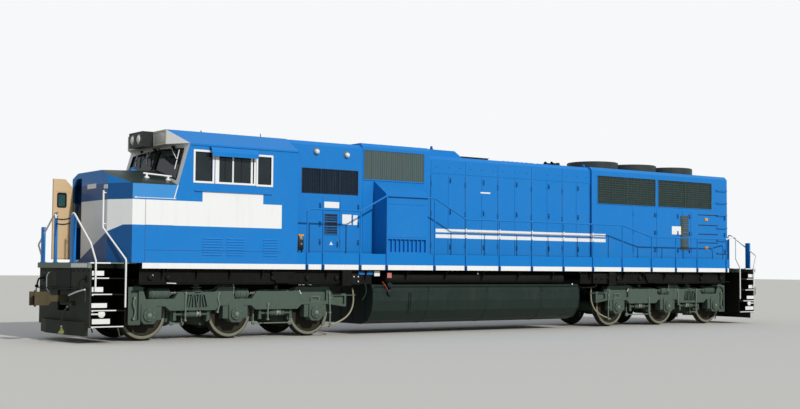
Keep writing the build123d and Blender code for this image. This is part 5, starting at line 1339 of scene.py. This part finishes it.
def makeTruckBeams():   # cable trays and air boots between the side frames
    tray = [slab(onTruck(-2.62, 0.50, 1.03), onTruck(2.28, 0.60, 1.155), 0.02, 2)]
    for x in (-2.2, -1.4, -0.7, 0.7, 1.4, 2.0):
        tray.append(slab(onTruck(x - 0.03, 0.47, 1.01), onTruck(x + 0.03, 0.63, 1.163), 0.008))
    fitTrucks("CableTrays", tray, "blackPaint")
    boots = []
    for x in (1.52, -1.52):
        fold = slab(onTruck(x - 0.20, -0.20, 1.00), onTruck(x + 0.20, 0.20, 1.024), 0.010, 2)
        boots.append(repeat(fold, 7, (0, 0, 0.022)))
    fitTrucks("AirBoots", boots, "rubber", sides=False)


rim = dict(radius=0.489, half=0.030, face=0.8165, proud=0.004)


def makeRims():   # the bright worn ring on each tyre's outer face
    for end in ("front", "rear"):
        for number in (1, 2, 3):
            low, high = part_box(f"{end}_wheelset_{number}")
            clearPick()
            bpy.ops.mesh.primitive_torus_add(major_radius=rim["radius"], minor_radius=rim["half"],
                                             major_segments=72, minor_segments=10)
            ring = bpy.context.object
            ring.scale = (1, 1, rim["proud"] / rim["half"])
            ring.rotation_euler = (math.pi / 2, 0, 0)
            ring.location = ((low[0] + high[0]) / 2, rim["face"], axleHeight)
            ring = bothSides(applyPlace(ring))
            fit(f"{end}Rim{number}", [ring], "rimSteel", body=f"{end}_wheelset_{number}")


# Tank and underframe

boltHead = [(0, 0.017), (0.012, 0.015), (0.014, 0.004)]
tank = dict(bandX=(3.55, 1.88, 0.0, -1.88, -3.23), boltZ=(1.10, 1.02, 0.40, 0.32), side=1.405,
            drain=[(3.80, 1.40, 1.205), (3.797, 1.46, 1.12), (3.797, 1.46, 0.928), (3.91, 1.46, 0.812)],
            filler=[(0, 0.062), (0.03, 0.062), (0.034, 0.074), (0.06, 0.074), (0.066, 0.04), (0.068, 0.004)],
            endX=(3.561, -3.241), ribY=(-1.0, -0.5, 0.0, 0.5, 1.0), ribLow=0.32, ribHigh=1.06)


def makeTankFittings():
    places = [(x - 0.01, tank["side"], rail + z) for x in tank["bandX"] for z in tank["boltZ"]]
    dark = lathes(boltHead, places, (0, 1, 0), 6)
    dark.append(slab((-3.20, 1.388, rail + 1.128), (3.50, 1.408, rail + 1.142)))
    dark.append(bentPipe([(x, y, rail + z) for x, y, z in tank["drain"]], 0.016, curved=True))
    filler = [lathe(tank["filler"], (3.08, 1.395, rail + 0.98), (0, 1, 0.15), 20),
              rod((3.02, 1.462, rail + 0.985), (3.14, 1.462, rail + 0.985), 0.011, 8)]
    gauge = [windowRing((2.42, 1.398, rail + 0.52), (2.50, 1.418, rail + 0.98), 0.018, 0.003)]
    fit("tankBolts", dark, "tankPaint", sides=True)
    fit("tankFiller", filler, "tankPaint", sides=True)
    fit("tankGauge", gauge, "tankPaint", sides=True)
    ribs = [slab((x - 0.004, y - 0.03, rail + tank["ribLow"]), (x + 0.010, y + 0.03, rail + tank["ribHigh"]))
            for x in tank["endX"] for y in tank["ribY"]]
    fit("tankEndRibs", ribs, "tankPaint")


hangingPlates = [
    # X low, X high, Z low, Z high, finish, slot
    (3.58, 3.98, 1.405, 1.485, "plainBlue", "blue_paint"),
    (3.37, 3.53, 1.372, 1.500, "whitePaint", "white_paint"),
    (3.02, 3.15, 1.330, 1.460, "fadedPink", "galvanised"),
]


sill = dict(
    side=1.402, pipeY=1.412, pipe=0.013,
    handle=[(3.30, 1.412, 1.24), (3.20, 1.432, 1.16), (3.11, 1.412, 0.98)],
    knob=[(0, 0.045), (0.02, 0.044), (0.03, 0.025), (0.06, 0.022), (0.064, 0.004)],
    knobs=(-3.80, -4.02, -4.24),
    valve=[(0, 0.05), (0.01, 0.062), (0.05, 0.060), (0.07, 0.030), (0.075, 0.004)],
    valves=(9.25, 8.85, 6.30, 5.40, 4.60, -4.70, -5.60, -8.20, -9.10),
    bent=[(-3.85, 1.44, 1.20), (-3.86, 1.44, 1.12), (-3.75, 1.43, 1.08), (-3.30, 1.41, 1.08)],
    runs=[((9.5, 1.235), (7.0, 1.230), (4.3, 1.235)), ((-4.4, 1.235), (-7.0, 1.230), (-9.5, 1.235))],
    smallDot=[(0, 0.016), (0.008, 0.014), (0.009, 0.003)],
    smallDots=[(4.05, 1.36), (4.17, 1.36), (4.05, 1.25)],
    dot=[(0, 0.022), (0.008, 0.020), (0.009, 0.004)], dots=[(9.20, 1.37), (0.33, 1.45), (-2.97, 1.175)],
    ductHalf=9.80, strapStart=-9.3, strapGap=1.43, straps=14,
    damper=[(0, 0.035), (0.09, 0.040), (0.11, 0.085), (0.16, 0.15), (0.21, 0.155)], damperX=5.86)


def makeSillFittings():
    side = sill["side"]
    for number, (x0, x1, z0, z1, look, slotName) in enumerate(hangingPlates):
        plate = slab((x0, side - 0.012, rail + z0), (x1, side + 0.012, rail + z1))
        fit(f"sillPlate{number + 1}", [plate], look, sides=True)
    red = [slab((3.765, side + 0.010, rail + 1.415), (3.815, side + 0.018, rail + 1.475)),
           bentPipe([(x, y, rail + z) for x, y, z in sill["handle"]], 0.009, curved=True)]
    fit("redHandles", red, "signalRed", sides=True)
    box = [slab((3.998, side - 0.02, rail + 1.175), (4.226, 1.50, rail + 1.42), 0.012, 2),
           slab((-4.32, side - 0.02, rail + 1.185), (-3.70, 1.47, rail + 1.46), 0.012, 2)]
    box += lathes(sill["knob"], [(x, 1.465, rail + 1.33) for x in sill["knobs"]], (0, 1, 0), 16)
    box.append(bentPipe([(x, y, rail + z) for x, y, z in sill["bent"]], 0.014, curved=True))
    box += lathes(sill["valve"], [(x, 1.397, rail + 1.33) for x in sill["valves"]], (0, 1, 0), 16)
    box += [bentPipe([(x, sill["pipeY"], rail + z) for x, z in run], sill["pipe"]) for run in sill["runs"]]
    fit("sillValves", box, "blackPaint", sides=True)
    dots = lathes(sill["smallDot"], [(x, 1.499, rail + z) for x, z in sill["smallDots"]], (0, 1, 0), 10)
    dots += lathes(sill["dot"], [(x, side, rail + z) for x, z in sill["dots"]], (0, 1, 0), 12)
    dots.append(rod((8.66, 1.409, rail + 1.205), (8.88, 1.409, rail + 1.215), 0.011, 8))
    fit("sillWhiteDots", dots, "whitePaint", sides=True)
    ducts = [slab((-sill["ductHalf"], 0.62, rail + 1.168), (sill["ductHalf"], 0.82, rail + 1.30), 0.01)]
    for x in [sill["strapStart"] + index * sill["strapGap"] for index in range(sill["straps"])]:
        ducts.append(slab((x - 0.03, 0.60, rail + 1.18), (x + 0.03, 0.84, rail + 1.32), 0.005))
    fit("sillDucts", ducts, "blackPaint", sides=True)
    places = [(x, 1.05, rail + 1.21) for x in (sill["damperX"], -sill["damperX"])]
    fit("bodyDampers", lathes(sill["damper"], places, (0, 0, 1), 24), "truckPaint", sides=True)


# Ends

stanchions = [
    # Y low, Y high, top above the rail
    (-1.31, -1.15, 2.42), (-0.52, -0.42, 2.60), (0.44, 0.66, 2.63),
]


pilot = dict(face=10.60, cutLever=[(10.690, 0.57, 0.95), (10.690, 1.0, 1.04), (10.690, 1.45, 1.085)],
             grabY=-0.79, grab=[(10.60, 1.43), (10.665, 1.41), (10.675, 1.2), (10.665, 1.02), (10.60, 1.0)],
             boltHead=[(0, 0.017), (0.010, 0.015), (0.014, 0.010), (0.015, 0.003)], boltX=10.589,
             boltZ=(1.46, 0.36), bolts=11, boltStart=-1.40, boltGap=0.28, clear=0.45,
             stubY=1.22, stub=[(10.60, 1.30), (10.68, 1.30), (10.72, 1.24), (10.74, 1.12)],
             stubEnd=[(0, 0.035), (0.012, 0.040), (0.05, 0.040), (0.06, 0.024), (0.062, 0.004)])


def makeEndFittings():
    posts = []
    for y0, y1, top in stanchions:
        posts.append(slab((10.585, y0, deckTop - 0.01), (10.640, y1, rail + top), 0.012, 2))
        posts.append(slab((10.57, y0 - 0.02, deckTop - 0.002), (10.645, y1 + 0.02, deckTop + 0.014)))
    grabs = [bentPipe([(x, y, rail + z) for x, y, z in pilot["cutLever"]], 0.016, curved=True),
             bentPipe([(x, pilot["grabY"], rail + z) for x, z in pilot["grab"]], 0.013, curved=True)]
    across = [pilot["boltStart"] + index * pilot["boltGap"] for index in range(pilot["bolts"])]
    places = [(pilot["boltX"], y, rail + z) for y in across
              for z in pilot["boltZ"] if abs(y) > pilot["clear"]]
    dark = [copiesAt(lathe(pilot["boltHead"], (0, 0, 0), (1, 0, 0), 6), places),
            slab((10.588, -0.42, rail + 1.04), (pilot["face"], 0.42, rail + 1.50), 0.006)]
    for y in (-pilot["stubY"], pilot["stubY"]):
        dark.append(bentPipe([(x, y, rail + z) for x, z in pilot["stub"]], 0.020, 12, curved=True))
        dark.append(lathe(pilot["stubEnd"], (10.74, y, rail + 1.15), (0, 0, -1), 16))
        dark.append(slab((10.588, y - 0.07, rail + 1.23), (10.605, y + 0.07, rail + 1.37), 0.006))
    for name, parts, look, slotName in (("endStanchions", posts, "plainBlue", "blue_paint"),
                                        ("pilotGrabs", grabs, "whitePaint", "white_paint"),
                                        ("pilotBolts", dark, "blackPaint", "black_paint")):
        front = join(parts)
        fit(name, [front, turnedRound(front)], look)


makeWindowFrames()
makeWindowRubber()
makeWipers()
makeNoseFittings()
makeNumberBoards()
makeLamps()
makeDoorFittings()
makeStepEdges()
makeStepLabels()
makeRailFittings()
makeHoodLatches()
makeScreens()
makeHoodLabels()
makeRoofBolts()
makeVents()
makeSeams()
makeSeats()
print("cab and hoods done")
makeTruckBolts()
makeTruckPipes()
makeTruckRigging()
makeSandPipes()
makeTruckBeams()
makeRims()
print("trucks done")
makeTankFittings()
makeSillFittings()
makeEndFittings()
print("pieces done")

makeLight()
makeFloor()
scene = bpy.context.scene
scene.view_settings.view_transform = "Standard"

for node in nodes.values():
    node.select_set(False)
